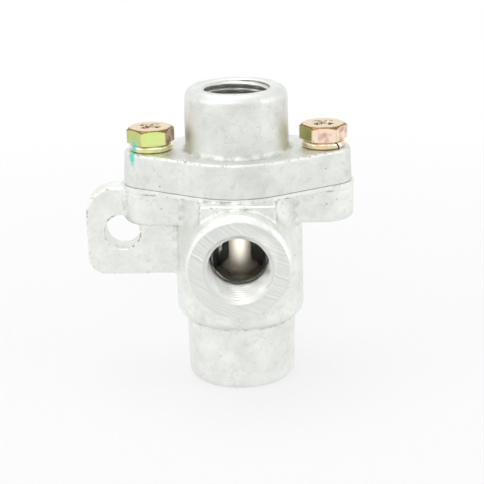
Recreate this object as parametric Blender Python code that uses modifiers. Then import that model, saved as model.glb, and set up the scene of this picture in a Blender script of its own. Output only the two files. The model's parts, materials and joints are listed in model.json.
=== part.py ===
"""Double non-return valve for compressed air.

Two supply ports face each other on one upright axis and share one delivery port at the front.
A light shuttle slides between a seat in the body and a seat in the cover, and closes the supply
that has the lower pressure. The body and the cover are die castings, joined by two cap screws.

Sizes are millimetres in the valve's own frame: its axis is upright through x = y = 0, its lowest
face is z = 0, and the delivery port faces -Y. Everything hangs from one empty on that axis.
"""
import math

import bmesh
import bpy

MM = 0.001

# Whole body
BODY_HEIGHT = 49.3
LOWER_BOSS_HEIGHT = 15.8
LOWER_BOSS_RADIUS = 13.0
LOWER_BOSS_DRAFT = 0.25
LOWER_RIM_ROUND = 2.0
BARREL_RADIUS = 15.5
BARREL_DRAFT = 0.4
BARREL_FOOT_ROUND = 3.1

# Flange that the body and the cover share
SCREW_SPACING = 41.0
FLANGE_HALF_DEPTH = 17.6
FLANGE_END_RADIUS = 7.2
LIP_THICKNESS = 1.1
LUG_RADIUS = 7.15
LUG_DEPTH = 9.3
LUG_ROUND = 1.4
SADDLE_HALF_WIDTH = 8.65
SADDLE_STEP = 2.2
SADDLE_TOP_DROP = 0.8

# Delivery port at the front. Its bore is a little lower than the middle of its boss
PORT_AXIS_DROP = 14.4
PORT_REACH = 24.7
PORT_BOSS_RISE = 0.4
PORT_BOSS_RADIUS = 12.25
PORT_BOSS_DRAFT = 0.3
PORT_RIM_ROUND = 2.0

# Mounting ear on the left
EAR_REACH = 36.8
EAR_THICKNESS = 6.4
EAR_TOP_DROP = 0.6
EAR_HEIGHT = 21.8
EAR_CORNER_RADIUS = 4.4
EAR_EDGE_ROUND = 0.5
EAR_HOLE_RADIUS = 4.25
EAR_HOLE_FROM_AXIS = 28.1
EAR_HOLE_BELOW_MIDDLE = 0.2

# Threaded ports, all three alike: a tapered pipe thread drawn at its crests
THREAD_MOUTH_RADIUS = 7.55
THREAD_TAPER = 1.0 / 32.0
FRONT_THREAD_DEPTH = 10.7
END_THREAD_DEPTH = 14.0
FRONT_CHAMFER_RADIUS = 8.9
END_CHAMFER_RADIUS = 9.4
FRONT_PASSAGE_RADIUS = 7.1

# Chamber and seats
CHAMBER_RADIUS = 11.7
CHAMBER_FLOOR = 18.6
SEAT_HEIGHT = 1.8
SEAT_OUTER_RADIUS = 7.4
SEAT_BORE_RADIUS = 6.0
SEAT_EDGE = 0.35

# Cover
COVER_THICKNESS = 7.0
COVER_SETBACK = 0.45
COVER_DRAFT = 0.35
COVER_EDGE_ROUND = 0.9
TOP_BOSS_HEIGHT = 15.5
TOP_BOSS_RADIUS = 12.1
TOP_BOSS_DRAFT = 0.3
TOP_BOSS_ROOT_FILLET = 1.4
TOP_RIM_ROUND = 2.0
COVER_RECESS_DEPTH = 3.4

# Cover seal
SEAL_CORD_RADIUS = 0.75
SEAL_RING_RADIUS = 13.4

# Shuttle and its guide
TRAVEL = 4.0
SHUTTLE_WAIST_RADIUS = 2.7
SHUTTLE_STRAIGHT_WAIST = 1.0
SHUTTLE_DISC_THICKNESS = 3.8
PAD_THICKNESS = 1.7
PAD_RADIUS = 8.2
PAD_PROUD = 0.3
GUIDE_WALL = 1.6
GUIDE_RING_HEIGHT = 2.5
GUIDE_LEG_WIDTH = 4.2
GUIDE_LEGS = 4

# Cap screws and spring washers
SCREW_RADIUS = 3.0
SCREW_LENGTH = 16.0
SCREW_HEAD_FLATS = 10.0
SCREW_HEAD_HEIGHT = 4.0
SCREW_HEAD_FACE = 0.3
SCREW_HEAD_CONE_INSET = 0.2
SCREW_HEAD_CONE_DEG = 30.0
SCREW_TIP_CHAMFER = 0.5
SCREW_HOLE_FLOOR_GAP = 0.8
RECESS_ARM = 2.6
RECESS_WIDTH = 1.2
RECESS_DEPTH = 1.9
RECESS_FLOOR_ARM = 0.9
RECESS_FLOOR_WIDTH = 0.7
WASHER_RADIUS = 5.2
WASHER_THICKNESS = 1.7
WASHER_SPLIT = 1.1
WASHER_SPLIT_LEAN_DEG = 32.0
LEFT_HEAD_TURN_DEG = 12.0
RIGHT_HEAD_TURN_DEG = 0.0
LEFT_SPLIT_DEG = 150.0
RIGHT_SPLIT_DEG = -48.0

# Clearances
SEAT_GAP = 0.3
SLIDE_GAP = 0.3
SCREW_CLEARANCE = 0.35

# Metal that the casting has spare where a face is milled
JOINT_STOCK = 0.8
PORT_STOCK = 0.44

# How finely round things are divided
ROUND_STEPS = 48
MEDIUM_STEPS = 36
SMALL_STEPS = 24
FLANGE_STEPS = 12
LUG_STEPS = 14
FOOT_STEPS = 6
WINDOW_STEPS = 8
CORNER_STEPS = 5
SWEEP_STEPS = 7
SEAL_STEPS = 8
OVERCUT = 1.0

# Levels and places that follow from the sizes above
COVER_FACE = BODY_HEIGHT + SEAT_GAP
COVER_TOP = COVER_FACE + COVER_THICKNESS
TOP_FACE = COVER_TOP + TOP_BOSS_HEIGHT
LIP_BOTTOM = BODY_HEIGHT - LIP_THICKNESS
LUG_BOTTOM = BODY_HEIGHT - LUG_DEPTH
PORT_AXIS_HEIGHT = BODY_HEIGHT - PORT_AXIS_DROP
EAR_TOP = BODY_HEIGHT - EAR_TOP_DROP
EAR_BOTTOM = EAR_TOP - EAR_HEIGHT
EAR_HOLE_HEIGHT = (EAR_TOP + EAR_BOTTOM) / 2 - EAR_HOLE_BELOW_MIDDLE
SCREW_X = SCREW_SPACING / 2
FLANGE_REACH = SCREW_X + FLANGE_END_RADIUS
LOWER_SEAT = CHAMBER_FLOOR + SEAT_HEIGHT
RECESS_CEILING = COVER_FACE + COVER_RECESS_DEPTH
UPPER_SEAT = RECESS_CEILING - SEAT_HEIGHT
SEAL_FLOOR = BODY_HEIGHT - 2 * SEAL_CORD_RADIUS - SEAT_GAP
SHUTTLE_LOW = LOWER_SEAT + SEAT_GAP
SHUTTLE_HIGH = UPPER_SEAT - SEAT_GAP - TRAVEL
GUIDE_RADIUS = CHAMBER_RADIUS - SEAT_GAP
GUIDE_BORE = GUIDE_RADIUS - GUIDE_WALL
SHUTTLE_RADIUS = GUIDE_BORE - SLIDE_GAP
WASHER_LOW = COVER_TOP + SEAT_GAP
HEAD_LOW = WASHER_LOW + WASHER_THICKNESS + SEAT_GAP

# The origin is the middle of the footprint of the whole valve
AXIS_X = (EAR_REACH - FLANGE_REACH) / 2
AXIS_Y = (PORT_REACH - FLANGE_HALF_DEPTH) / 2


def clear_scene():
    for old in list(bpy.data.objects):
        bpy.data.objects.remove(old, do_unlink=True)
    for old in list(bpy.data.collections):
        bpy.data.collections.remove(old)


def new_collection(name):
    made = bpy.data.collections.new(name)
    bpy.context.scene.collection.children.link(made)
    return made


clear_scene()
PARTS = new_collection("double_non_return_valve")
CUTTERS = new_collection("cutters")

AXIS = bpy.data.objects.new("valve_axis", None)
AXIS.location = (AXIS_X * MM, AXIS_Y * MM, 0)
PARTS.objects.link(AXIS)

SHUTTLE_AXIS = bpy.data.objects.new("shuttle_axis", None)
SHUTTLE_AXIS.parent = AXIS
PARTS.objects.link(SHUTTLE_AXIS)


def finish(name, colour, metallic, roughness):
    made = bpy.data.materials.new(name)
    made.use_nodes = True
    shader = made.node_tree.nodes["Principled BSDF"]
    shader.inputs["Base Color"].default_value = (*colour, 1)
    shader.inputs["Metallic"].default_value = metallic
    shader.inputs["Roughness"].default_value = roughness
    return made


CAST = finish("die_cast_aluminium", (0.62, 0.64, 0.62), 1.0, 0.45)
MACHINED = finish("machined_aluminium", (0.75, 0.75, 0.73), 1.0, 0.25)
STAMPED = finish("drawn_steel", (0.55, 0.56, 0.57), 1.0, 0.35)
ZINC = finish("yellow_passivated_zinc", (0.72, 0.62, 0.30), 1.0, 0.35)
RUBBER = finish("nitrile_rubber", (0.02, 0.02, 0.02), 0.0, 0.7)


def add_mesh(name, mesh, collection, parent):
    made = bpy.data.objects.new(name, mesh)
    collection.objects.link(made)
    made.parent = parent
    return made


def as_part(obj, material):
    obj.data.materials.append(material)
    obj.data.shade_smooth()
    obj.data.set_sharp_from_angle(angle=math.radians(30))
    return obj


def as_cutter(obj):
    obj.hide_render = True
    obj.display_type = "WIRE"
    return obj


def revolve(name, profile, collection, steps=ROUND_STEPS, parent=None):
    """Turns a profile of (radius, height) about Z. It runs down its outer side."""
    mesh = bpy.data.meshes.new(name)
    points = [(r * MM, 0, z * MM) for r, z in profile]
    closed = all(r > 0 for r, z in profile)
    edges = [(i, i + 1) for i in range(len(points) - 1)]
    if closed:
        edges.append((len(points) - 1, 0))
    mesh.from_pydata(points, edges, [])
    made = add_mesh(name, mesh, collection, parent or AXIS)
    turn = made.modifiers.new("turn", "SCREW")
    turn.steps = steps
    turn.render_steps = steps
    turn.use_merge_vertices = True
    turn.merge_threshold = 0.00001
    return made


def loft(name, sections, collection):
    """Skins closed outlines of equal count, each with its height, from the lowest to the highest."""
    shape = bmesh.new()
    rings = []
    for outline, level in sections:
        rings.append([shape.verts.new((x * MM, y * MM, level * MM)) for x, y in outline])
    count = len(rings[0])
    for low, high in zip(rings, rings[1:]):
        for i in range(count):
            j = (i + 1) % count
            shape.faces.new((low[i], low[j], high[j], high[i]))
    shape.faces.new(rings[0][::-1])
    shape.faces.new(rings[-1])
    mesh = bpy.data.meshes.new(name)
    shape.to_mesh(mesh)
    shape.free()
    return add_mesh(name, mesh, collection, AXIS)


def box(name, low, high, collection):
    """A cube primitive between two corners."""
    shape = bmesh.new()
    bmesh.ops.create_cube(shape, size=1)
    for vert in shape.verts:
        vert.co = [(a + (b - a) * (c + 0.5)) * MM for a, b, c in zip(low, high, vert.co)]
    mesh = bpy.data.meshes.new(name)
    shape.to_mesh(mesh)
    shape.free()
    return add_mesh(name, mesh, collection, AXIS)


def combine(target, other, operation):
    cut = target.modifiers.new(operation.lower(), "BOOLEAN")
    cut.operation = operation
    cut.solver = "EXACT"
    cut.object = as_cutter(other)


def arc(centre, radius, start_deg, end_deg, steps):
    """Points on an arc of a circle, both ends included."""
    turns = [math.radians(start_deg + (end_deg - start_deg) * i / steps) for i in range(steps + 1)]
    return [(centre[0] + radius * math.cos(a), centre[1] + radius * math.sin(a)) for a in turns]


def lozenge(half_depth, end_radius, inset):
    """Flange outline: a round middle and two round ends, joined by tangents, all moved in by inset."""
    lean = math.degrees(math.asin((half_depth - end_radius) / SCREW_X))
    middle = half_depth - inset
    end = end_radius - inset
    outline = arc((0, 0), middle, -90 - lean, -90 + lean, FLANGE_STEPS)
    outline += arc((SCREW_X, 0), end, -90 + lean, 90 - lean, FLANGE_STEPS)
    outline += arc((0, 0), middle, 90 - lean, 90 + lean, FLANGE_STEPS)
    outline += arc((-SCREW_X, 0), end, 90 + lean, 270 - lean, FLANGE_STEPS)
    return outline


def stadium(end_radius, inset):
    """Outline of the two lugs: straight sides and a half circle round each screw."""
    outline = arc((SCREW_X, 0), end_radius - inset, -90, 90, LUG_STEPS)
    return outline + arc((-SCREW_X, 0), end_radius - inset, 90, 270, LUG_STEPS)


def rounding(radius, steps=CORNER_STEPS):
    """Steps round an outer edge, from the face to the side: (distance in, distance down)."""
    turns = [math.pi / 2 * i / steps for i in range(steps + 1)]
    return [(radius * (1 - math.sin(a)), radius * (1 - math.cos(a))) for a in turns]


def port_profile(chamfer_radius, depth, end):
    """Outer side of a threaded port's cutter, from outside its mouth to the thread's end.

    Heights are counted into the metal; end is where the thread stops and the passage starts.
    """
    mouth = THREAD_MOUTH_RADIUS
    chamfer = chamfer_radius - mouth
    return [(chamfer_radius + OVERCUT, OVERCUT), (mouth, -chamfer), (mouth - depth * THREAD_TAPER, -depth), end]


def barrel_profile():
    """Outside of the lower boss and the barrel above it, from the top down."""
    boss_top = LOWER_BOSS_RADIUS + LOWER_BOSS_DRAFT
    top_level = BODY_HEIGHT - LIP_THICKNESS / 2
    profile = [(0, top_level), (BARREL_RADIUS - BARREL_DRAFT, top_level)]
    foot = (BARREL_RADIUS - BARREL_FOOT_ROUND, LOWER_BOSS_HEIGHT + BARREL_FOOT_ROUND)
    profile += [p for p in arc(foot, BARREL_FOOT_ROUND, 0, -90, FOOT_STEPS) if p[0] > boss_top]
    profile += [(boss_top, LOWER_BOSS_HEIGHT)]
    rim = (LOWER_BOSS_RADIUS - LOWER_RIM_ROUND, LOWER_RIM_ROUND)
    profile += arc(rim, LOWER_RIM_ROUND, 0, -90, CORNER_STEPS)
    return profile + [(0, 0)]


def chamber_profile():
    """Cutter for the chamber, the lower seat, its passage and the lower port, from the top down."""
    lower = [(r, -z) for r, z in port_profile(END_CHAMFER_RADIUS, END_THREAD_DEPTH,
                                              (SEAT_BORE_RADIUS, -END_THREAD_DEPTH))]
    profile = [(0, BODY_HEIGHT + OVERCUT), (CHAMBER_RADIUS, BODY_HEIGHT + OVERCUT)]
    profile += [(CHAMBER_RADIUS, CHAMBER_FLOOR), (SEAT_OUTER_RADIUS, CHAMBER_FLOOR)]
    profile += [(SEAT_OUTER_RADIUS, LOWER_SEAT - SEAT_EDGE), (SEAT_OUTER_RADIUS - SEAT_EDGE, LOWER_SEAT)]
    profile += [(SEAT_BORE_RADIUS, LOWER_SEAT)]
    return profile + lower[::-1] + [(0, -OVERCUT)]


def front_port_profile():
    """Cutter for the delivery port, with its mouth at z = 0 and its passage running down."""
    passage_end = -(PORT_REACH - CHAMBER_RADIUS / 2)
    profile = [(0, OVERCUT)] + port_profile(FRONT_CHAMFER_RADIUS, FRONT_THREAD_DEPTH,
                                            (FRONT_PASSAGE_RADIUS, -FRONT_THREAD_DEPTH))
    return profile + [(FRONT_PASSAGE_RADIUS, passage_end), (0, passage_end)]


def face_front(obj):
    """Lays a turned shape down, so that its top faces -Y at the delivery port's face."""
    obj.rotation_euler = (math.pi / 2, 0, 0)
    obj.location = (0, -PORT_REACH * MM, PORT_AXIS_HEIGHT * MM)
    return obj


def port_boss():
    """Round boss of the delivery port as cast, with its round rim and a slight draft."""
    root = -(PORT_REACH - CHAMBER_RADIUS / 2)
    rim = (PORT_BOSS_RADIUS - PORT_RIM_ROUND, PORT_STOCK - PORT_RIM_ROUND)
    profile = [(0, PORT_STOCK)] + arc(rim, PORT_RIM_ROUND, 90, 0, CORNER_STEPS)
    profile += [(PORT_BOSS_RADIUS + PORT_BOSS_DRAFT, root), (0, root)]
    boss = face_front(revolve("port_boss", profile, CUTTERS))
    boss.location.z += PORT_BOSS_RISE * MM
    return boss


def ear_plate():
    """Mounting ear: an upright plate with two round corners, from its free end into the barrel."""
    corner = EAR_CORNER_RADIUS
    low_corner = (-EAR_REACH + corner, EAR_BOTTOM + corner)
    high_corner = (-EAR_REACH + corner, EAR_TOP - corner)
    root = -(CHAMBER_RADIUS + BARREL_RADIUS) / 2

    def outline(inset):
        points = arc(low_corner, corner - inset, 180, 270, CORNER_STEPS)
        points += [(root, EAR_BOTTOM + inset), (root, EAR_TOP - inset)]
        return points + arc(high_corner, corner - inset, 90, 180, CORNER_STEPS)

    half = EAR_THICKNESS / 2
    sections = [(outline(EAR_EDGE_ROUND), -half), (outline(0), -half + EAR_EDGE_ROUND)]
    sections += [(outline(0), half - EAR_EDGE_ROUND), (outline(EAR_EDGE_ROUND), half)]
    made = loft("ear_plate", sections, CUTTERS)
    made.rotation_euler = (math.pi / 2, 0, 0)
    return made


def upright_hole(name, x, low, high, radius, steps=SMALL_STEPS):
    """Cutter for a round hole along Z."""
    made = revolve(name, [(0, high), (radius, high), (radius, low), (0, low)], CUTTERS, steps)
    made.location.x = x * MM
    return made


def ring_profile(inner, outer, low, high):
    return [(outer, high), (outer, low), (inner, low), (inner, high)]


def milled_away(body):
    """Faces the casting at its joint with the cover and at the delivery port."""
    left, right = -EAR_REACH - OVERCUT, FLANGE_REACH + OVERCUT
    front, back = -PORT_REACH - OVERCUT, FLANGE_HALF_DEPTH + OVERCUT
    above = BODY_HEIGHT + PORT_BOSS_RADIUS
    combine(body, box("joint_facing", (left, front, BODY_HEIGHT), (right, back, above), CUTTERS), "DIFFERENCE")
    combine(body, box("port_facing", (left, front, 0), (right, -PORT_REACH, above), CUTTERS), "DIFFERENCE")


def make_body():
    """Die-cast body: barrel, lower boss, flange with two lugs, saddle, port boss and mounting ear."""
    body = revolve("body", barrel_profile(), PARTS)
    levels = (LIP_BOTTOM, BODY_HEIGHT + JOINT_STOCK)
    lip = [(lozenge(FLANGE_HALF_DEPTH, FLANGE_END_RADIUS, 0), level) for level in levels]
    combine(body, loft("flange_lip", lip, CUTTERS), "UNION")
    lugs = [(stadium(LUG_RADIUS, inset), LUG_BOTTOM + up) for inset, up in rounding(LUG_ROUND)]
    lugs.append((stadium(LUG_RADIUS, 0), BODY_HEIGHT - LIP_THICKNESS / 3))
    combine(body, loft("screw_lugs", lugs, CUTTERS), "UNION")
    saddle_low = (-SADDLE_HALF_WIDTH, -FLANGE_HALF_DEPTH - SADDLE_STEP, PORT_AXIS_HEIGHT)
    saddle_high = (SADDLE_HALF_WIDTH, 0, BODY_HEIGHT - SADDLE_TOP_DROP)
    combine(body, box("port_saddle", saddle_low, saddle_high, CUTTERS), "UNION")
    combine(body, port_boss(), "UNION")
    combine(body, ear_plate(), "UNION")
    milled_away(body)

    combine(body, revolve("chamber_cut", chamber_profile(), CUTTERS), "DIFFERENCE")
    combine(body, face_front(revolve("front_port_cut", front_port_profile(), CUTTERS)), "DIFFERENCE")
    inner = SEAL_RING_RADIUS - SEAL_CORD_RADIUS - SEAT_GAP
    outer = SEAL_RING_RADIUS + SEAL_CORD_RADIUS + SEAT_GAP
    groove = ring_profile(inner, outer, SEAL_FLOOR, BODY_HEIGHT + OVERCUT)
    combine(body, revolve("seal_groove", groove, CUTTERS), "DIFFERENCE")
    hole_floor = HEAD_LOW - SCREW_LENGTH - SCREW_HOLE_FLOOR_GAP
    for side, x in (("left", -SCREW_X), ("right", SCREW_X)):
        hole = upright_hole("tapped_hole_" + side, x, hole_floor, BODY_HEIGHT + OVERCUT,
                            SCREW_RADIUS + SCREW_CLEARANCE)
        combine(body, hole, "DIFFERENCE")
    reach = EAR_THICKNESS / 2 + OVERCUT
    ear_hole = upright_hole("ear_hole", -EAR_HOLE_FROM_AXIS, -reach, reach, EAR_HOLE_RADIUS, MEDIUM_STEPS)
    ear_hole.rotation_euler = (math.pi / 2, 0, 0)
    ear_hole.location.z = EAR_HOLE_HEIGHT * MM
    combine(body, ear_hole, "DIFFERENCE")
    return as_part(body, CAST)


def top_boss_profile():
    """Outside of the cover's boss, from its top face down into the cover plate."""
    rim = (TOP_BOSS_RADIUS - TOP_RIM_ROUND, TOP_FACE - TOP_RIM_ROUND)
    root = TOP_BOSS_RADIUS + TOP_BOSS_DRAFT
    fillet = TOP_BOSS_ROOT_FILLET
    profile = [(0, TOP_FACE)] + arc(rim, TOP_RIM_ROUND, 90, 0, CORNER_STEPS)
    profile += arc((root + fillet, COVER_TOP + fillet), fillet, 180, 270, CORNER_STEPS)
    inside_plate = COVER_TOP - COVER_THICKNESS / 4
    return profile + [(root + fillet, inside_plate), (0, inside_plate)]


def cover_bore_profile():
    """Cutter for the top port, its passage, the upper seat and the recess under it."""
    port = port_profile(END_CHAMFER_RADIUS, END_THREAD_DEPTH, (SEAT_BORE_RADIUS, -END_THREAD_DEPTH))
    profile = [(0, TOP_FACE + OVERCUT)] + [(r, TOP_FACE + z) for r, z in port]
    profile += [(SEAT_BORE_RADIUS, UPPER_SEAT), (SEAT_OUTER_RADIUS - SEAT_EDGE, UPPER_SEAT)]
    profile += [(SEAT_OUTER_RADIUS, UPPER_SEAT + SEAT_EDGE), (SEAT_OUTER_RADIUS, RECESS_CEILING)]
    profile += [(CHAMBER_RADIUS, RECESS_CEILING), (CHAMBER_RADIUS, COVER_FACE - OVERCUT)]
    return profile + [(0, COVER_FACE - OVERCUT)]


def make_cover():
    """Die-cast cover: the flange plate with the upper supply port's boss standing on it."""
    half_depth = FLANGE_HALF_DEPTH - COVER_SETBACK
    end_radius = FLANGE_END_RADIUS - COVER_SETBACK
    sections = [(lozenge(half_depth, end_radius, 0), COVER_FACE)]
    for inset, down in rounding(COVER_EDGE_ROUND)[::-1]:
        sections.append((lozenge(half_depth, end_radius, COVER_DRAFT + inset), COVER_TOP - down))
    cover = loft("cover", sections, PARTS)
    combine(cover, revolve("top_boss", top_boss_profile(), CUTTERS), "UNION")
    combine(cover, revolve("cover_bore", cover_bore_profile(), CUTTERS), "DIFFERENCE")
    for side, x in (("left", -SCREW_X), ("right", SCREW_X)):
        hole = upright_hole("cover_hole_" + side, x, COVER_FACE - OVERCUT, COVER_TOP + OVERCUT,
                            SCREW_RADIUS + SCREW_CLEARANCE)
        combine(cover, hole, "DIFFERENCE")
    return as_part(cover, CAST)


def make_seal():
    """O-ring in the body's groove, under the cover."""
    centre = (SEAL_RING_RADIUS, SEAL_FLOOR + SEAT_GAP + SEAL_CORD_RADIUS)
    section = arc(centre, SEAL_CORD_RADIUS, 90, -270, SEAL_STEPS)[:-1]
    return as_part(revolve("cover_o_ring", section, PARTS), RUBBER)


def make_guide():
    """Guide cage: two rings joined by slim legs, so that air passes the shuttle to the port."""
    low = CHAMBER_FLOOR + SEAT_GAP
    high = RECESS_CEILING - SEAT_GAP
    guide = revolve("shuttle_guide", ring_profile(GUIDE_BORE, GUIDE_RADIUS, low, high), PARTS)
    sill = low + GUIDE_RING_HEIGHT
    head = high - GUIDE_RING_HEIGHT
    half_leg = math.asin(GUIDE_LEG_WIDTH / 2 / GUIDE_RADIUS)
    window_turn = 2 * math.pi / GUIDE_LEGS
    reach = GUIDE_RADIUS + OVERCUT
    inner = GUIDE_BORE - OVERCUT
    for i in range(GUIDE_LEGS):
        middle = math.degrees(i * window_turn) - 90
        half = math.degrees(window_turn / 2 - half_leg)
        outline = arc((0, 0), reach, middle - half, middle + half, WINDOW_STEPS)
        outline += arc((0, 0), inner, middle + half, middle - half, WINDOW_STEPS)
        window = loft("guide_window_%d" % (i + 1), [(outline, sill), (outline, head)], CUTTERS)
        combine(guide, window, "DIFFERENCE")
    return as_part(guide, STAMPED)


def waist_flare(width, height):
    """Quarter of an ellipse from a disc's edge to the waist: (distance out, distance from the disc)."""
    turns = [math.pi / 2 * i / SWEEP_STEPS for i in range(SWEEP_STEPS + 1)]
    return [(width * (1 - math.sin(a)), height * (1 - math.cos(a))) for a in turns]


def shuttle_profile():
    """Bobbin: two discs with recesses for the pads, drawn in to a slim waist between them."""
    low = SHUTTLE_LOW + PAD_PROUD
    high = SHUTTLE_HIGH - PAD_PROUD
    floor = SHUTTLE_LOW + PAD_THICKNESS + SEAT_GAP
    ceiling = SHUTTLE_HIGH - PAD_THICKNESS - SEAT_GAP
    pocket = PAD_RADIUS + SEAT_GAP
    under = high - SHUTTLE_DISC_THICKNESS
    over = low + SHUTTLE_DISC_THICKNESS
    width = SHUTTLE_RADIUS - SHUTTLE_WAIST_RADIUS
    flare = waist_flare(width, min(width, (under - over - SHUTTLE_STRAIGHT_WAIST) / 2))
    profile = [(0, ceiling), (pocket, ceiling), (pocket, high), (SHUTTLE_RADIUS, high)]
    profile += [(SHUTTLE_WAIST_RADIUS + out, under - back) for out, back in flare]
    profile += [(SHUTTLE_WAIST_RADIUS + out, over + back) for out, back in flare[::-1]]
    return profile + [(SHUTTLE_RADIUS, low), (pocket, low), (pocket, floor), (0, floor)]


def make_shuttle():
    return as_part(revolve("shuttle", shuttle_profile(), PARTS, parent=SHUTTLE_AXIS), MACHINED)


def make_pad(name, low):
    """Rubber disc in one end of the shuttle, which seals on a seat."""
    high = low + PAD_THICKNESS
    profile = [(0, high), (PAD_RADIUS, high), (PAD_RADIUS, low), (0, low)]
    return as_part(revolve(name, profile, PARTS, MEDIUM_STEPS, SHUTTLE_AXIS), RUBBER)


def head_blank():
    """Cone-topped round that the hexagon is cut from, which chamfers its corners."""
    corner = SCREW_HEAD_FLATS / 2 / math.cos(math.pi / 6)
    flat = SCREW_HEAD_FLATS / 2 - SCREW_HEAD_CONE_INSET
    drop = (corner - flat) * math.tan(math.radians(SCREW_HEAD_CONE_DEG))
    top = HEAD_LOW + SCREW_HEAD_HEIGHT
    low = HEAD_LOW + SCREW_HEAD_FACE
    profile = [(0, top), (flat, top), (corner + OVERCUT, top - drop * (1 + OVERCUT / (corner - flat)))]
    profile += [(corner + OVERCUT, low), (flat, low), (flat, HEAD_LOW)]
    tip = HEAD_LOW - SCREW_LENGTH
    profile += [(SCREW_RADIUS, HEAD_LOW), (SCREW_RADIUS, tip + SCREW_TIP_CHAMFER)]
    return profile + [(SCREW_RADIUS - SCREW_TIP_CHAMFER, tip), (0, tip)]


def cross_recess(name, turn_deg):
    """Cutter for the cross in a head: two wedges that narrow towards its floor."""
    top = HEAD_LOW + SCREW_HEAD_HEIGHT
    low = top - RECESS_DEPTH

    def outline(length, width):
        return [(-length, -width), (length, -width), (length, width), (-length, width)]

    floor = outline(RECESS_FLOOR_ARM, RECESS_FLOOR_WIDTH / 2)
    mouth = outline(RECESS_ARM, RECESS_WIDTH / 2)
    arms = []
    for number, turn in enumerate((turn_deg, turn_deg + 90)):
        arm = loft("%s_%d" % (name, number), [(floor, low), (mouth, top), (mouth, top + OVERCUT)], CUTTERS)
        arm.rotation_euler.z = math.radians(turn)
        arms.append(arm)
    return arms


def make_screw(side, x, turn_deg):
    """Hexagon-head cap screw with a cross recess."""
    name = "cap_screw_" + side
    screw = revolve(name, head_blank(), PARTS, SMALL_STEPS)
    corner = SCREW_HEAD_FLATS / 2 / math.cos(math.pi / 6)
    hexagon = [(corner * math.cos(math.radians(a)), corner * math.sin(math.radians(a))) for a in range(0, 360, 60)]
    low = HEAD_LOW - SCREW_LENGTH - OVERCUT
    prism = loft(name + "_hexagon", [(hexagon, low), (hexagon, HEAD_LOW + SCREW_HEAD_HEIGHT + OVERCUT)], CUTTERS)
    combine(screw, prism, "INTERSECT")
    for arm in cross_recess(name + "_cross", 45):
        combine(screw, arm, "DIFFERENCE")
        arm.location.x = x * MM
        arm.rotation_euler.z += math.radians(turn_deg)
    for piece in (screw, prism):
        piece.location.x = x * MM
        piece.rotation_euler.z = math.radians(turn_deg)
    return as_part(screw, ZINC)


def make_washer(side, x, split_deg):
    """Spring washer: a square-section ring with one slanting split."""
    name = "spring_washer_" + side
    inner = SCREW_RADIUS + SEAT_GAP
    high = WASHER_LOW + WASHER_THICKNESS
    washer = revolve(name, ring_profile(inner, WASHER_RADIUS, WASHER_LOW, high), PARTS, MEDIUM_STEPS)
    half = WASHER_SPLIT / 2
    lean = (WASHER_THICKNESS / 2 + OVERCUT) * math.tan(math.radians(WASHER_SPLIT_LEAN_DEG))
    reach = WASHER_RADIUS + OVERCUT

    def slot(shift):
        return [(inner / 2, shift - half), (reach, shift - half), (reach, shift + half), (inner / 2, shift + half)]

    split = loft(name + "_split", [(slot(-lean), WASHER_LOW - OVERCUT), (slot(lean), high + OVERCUT)], CUTTERS)
    combine(washer, split, "DIFFERENCE")
    for piece in (washer, split):
        piece.location.x = x * MM
        piece.rotation_euler.z = math.radians(split_deg)
    return as_part(washer, ZINC)


make_body()
make_cover()
make_seal()
make_guide()
make_shuttle()
make_pad("lower_pad", SHUTTLE_LOW)
make_pad("upper_pad", SHUTTLE_HIGH - PAD_THICKNESS)
make_screw("left", -SCREW_X, LEFT_HEAD_TURN_DEG)
make_screw("right", SCREW_X, RIGHT_HEAD_TURN_DEG)
make_washer("left", -SCREW_X, LEFT_SPLIT_DEG)
make_washer("right", SCREW_X, RIGHT_SPLIT_DEG)
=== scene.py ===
# %% [markdown]
# # A die-cast double non-return valve
# The real valve joins two air supplies to one delivery. Its body and cover are aluminium die
# castings, its cover screws are yellow-passivated steel, and a light shuttle slides inside.
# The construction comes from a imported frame, so this file only gives each piece its true
# surface: soft cast edges, real threads, tool marks and plating.

# %% Load the frame
import itertools
import json
import math

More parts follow.
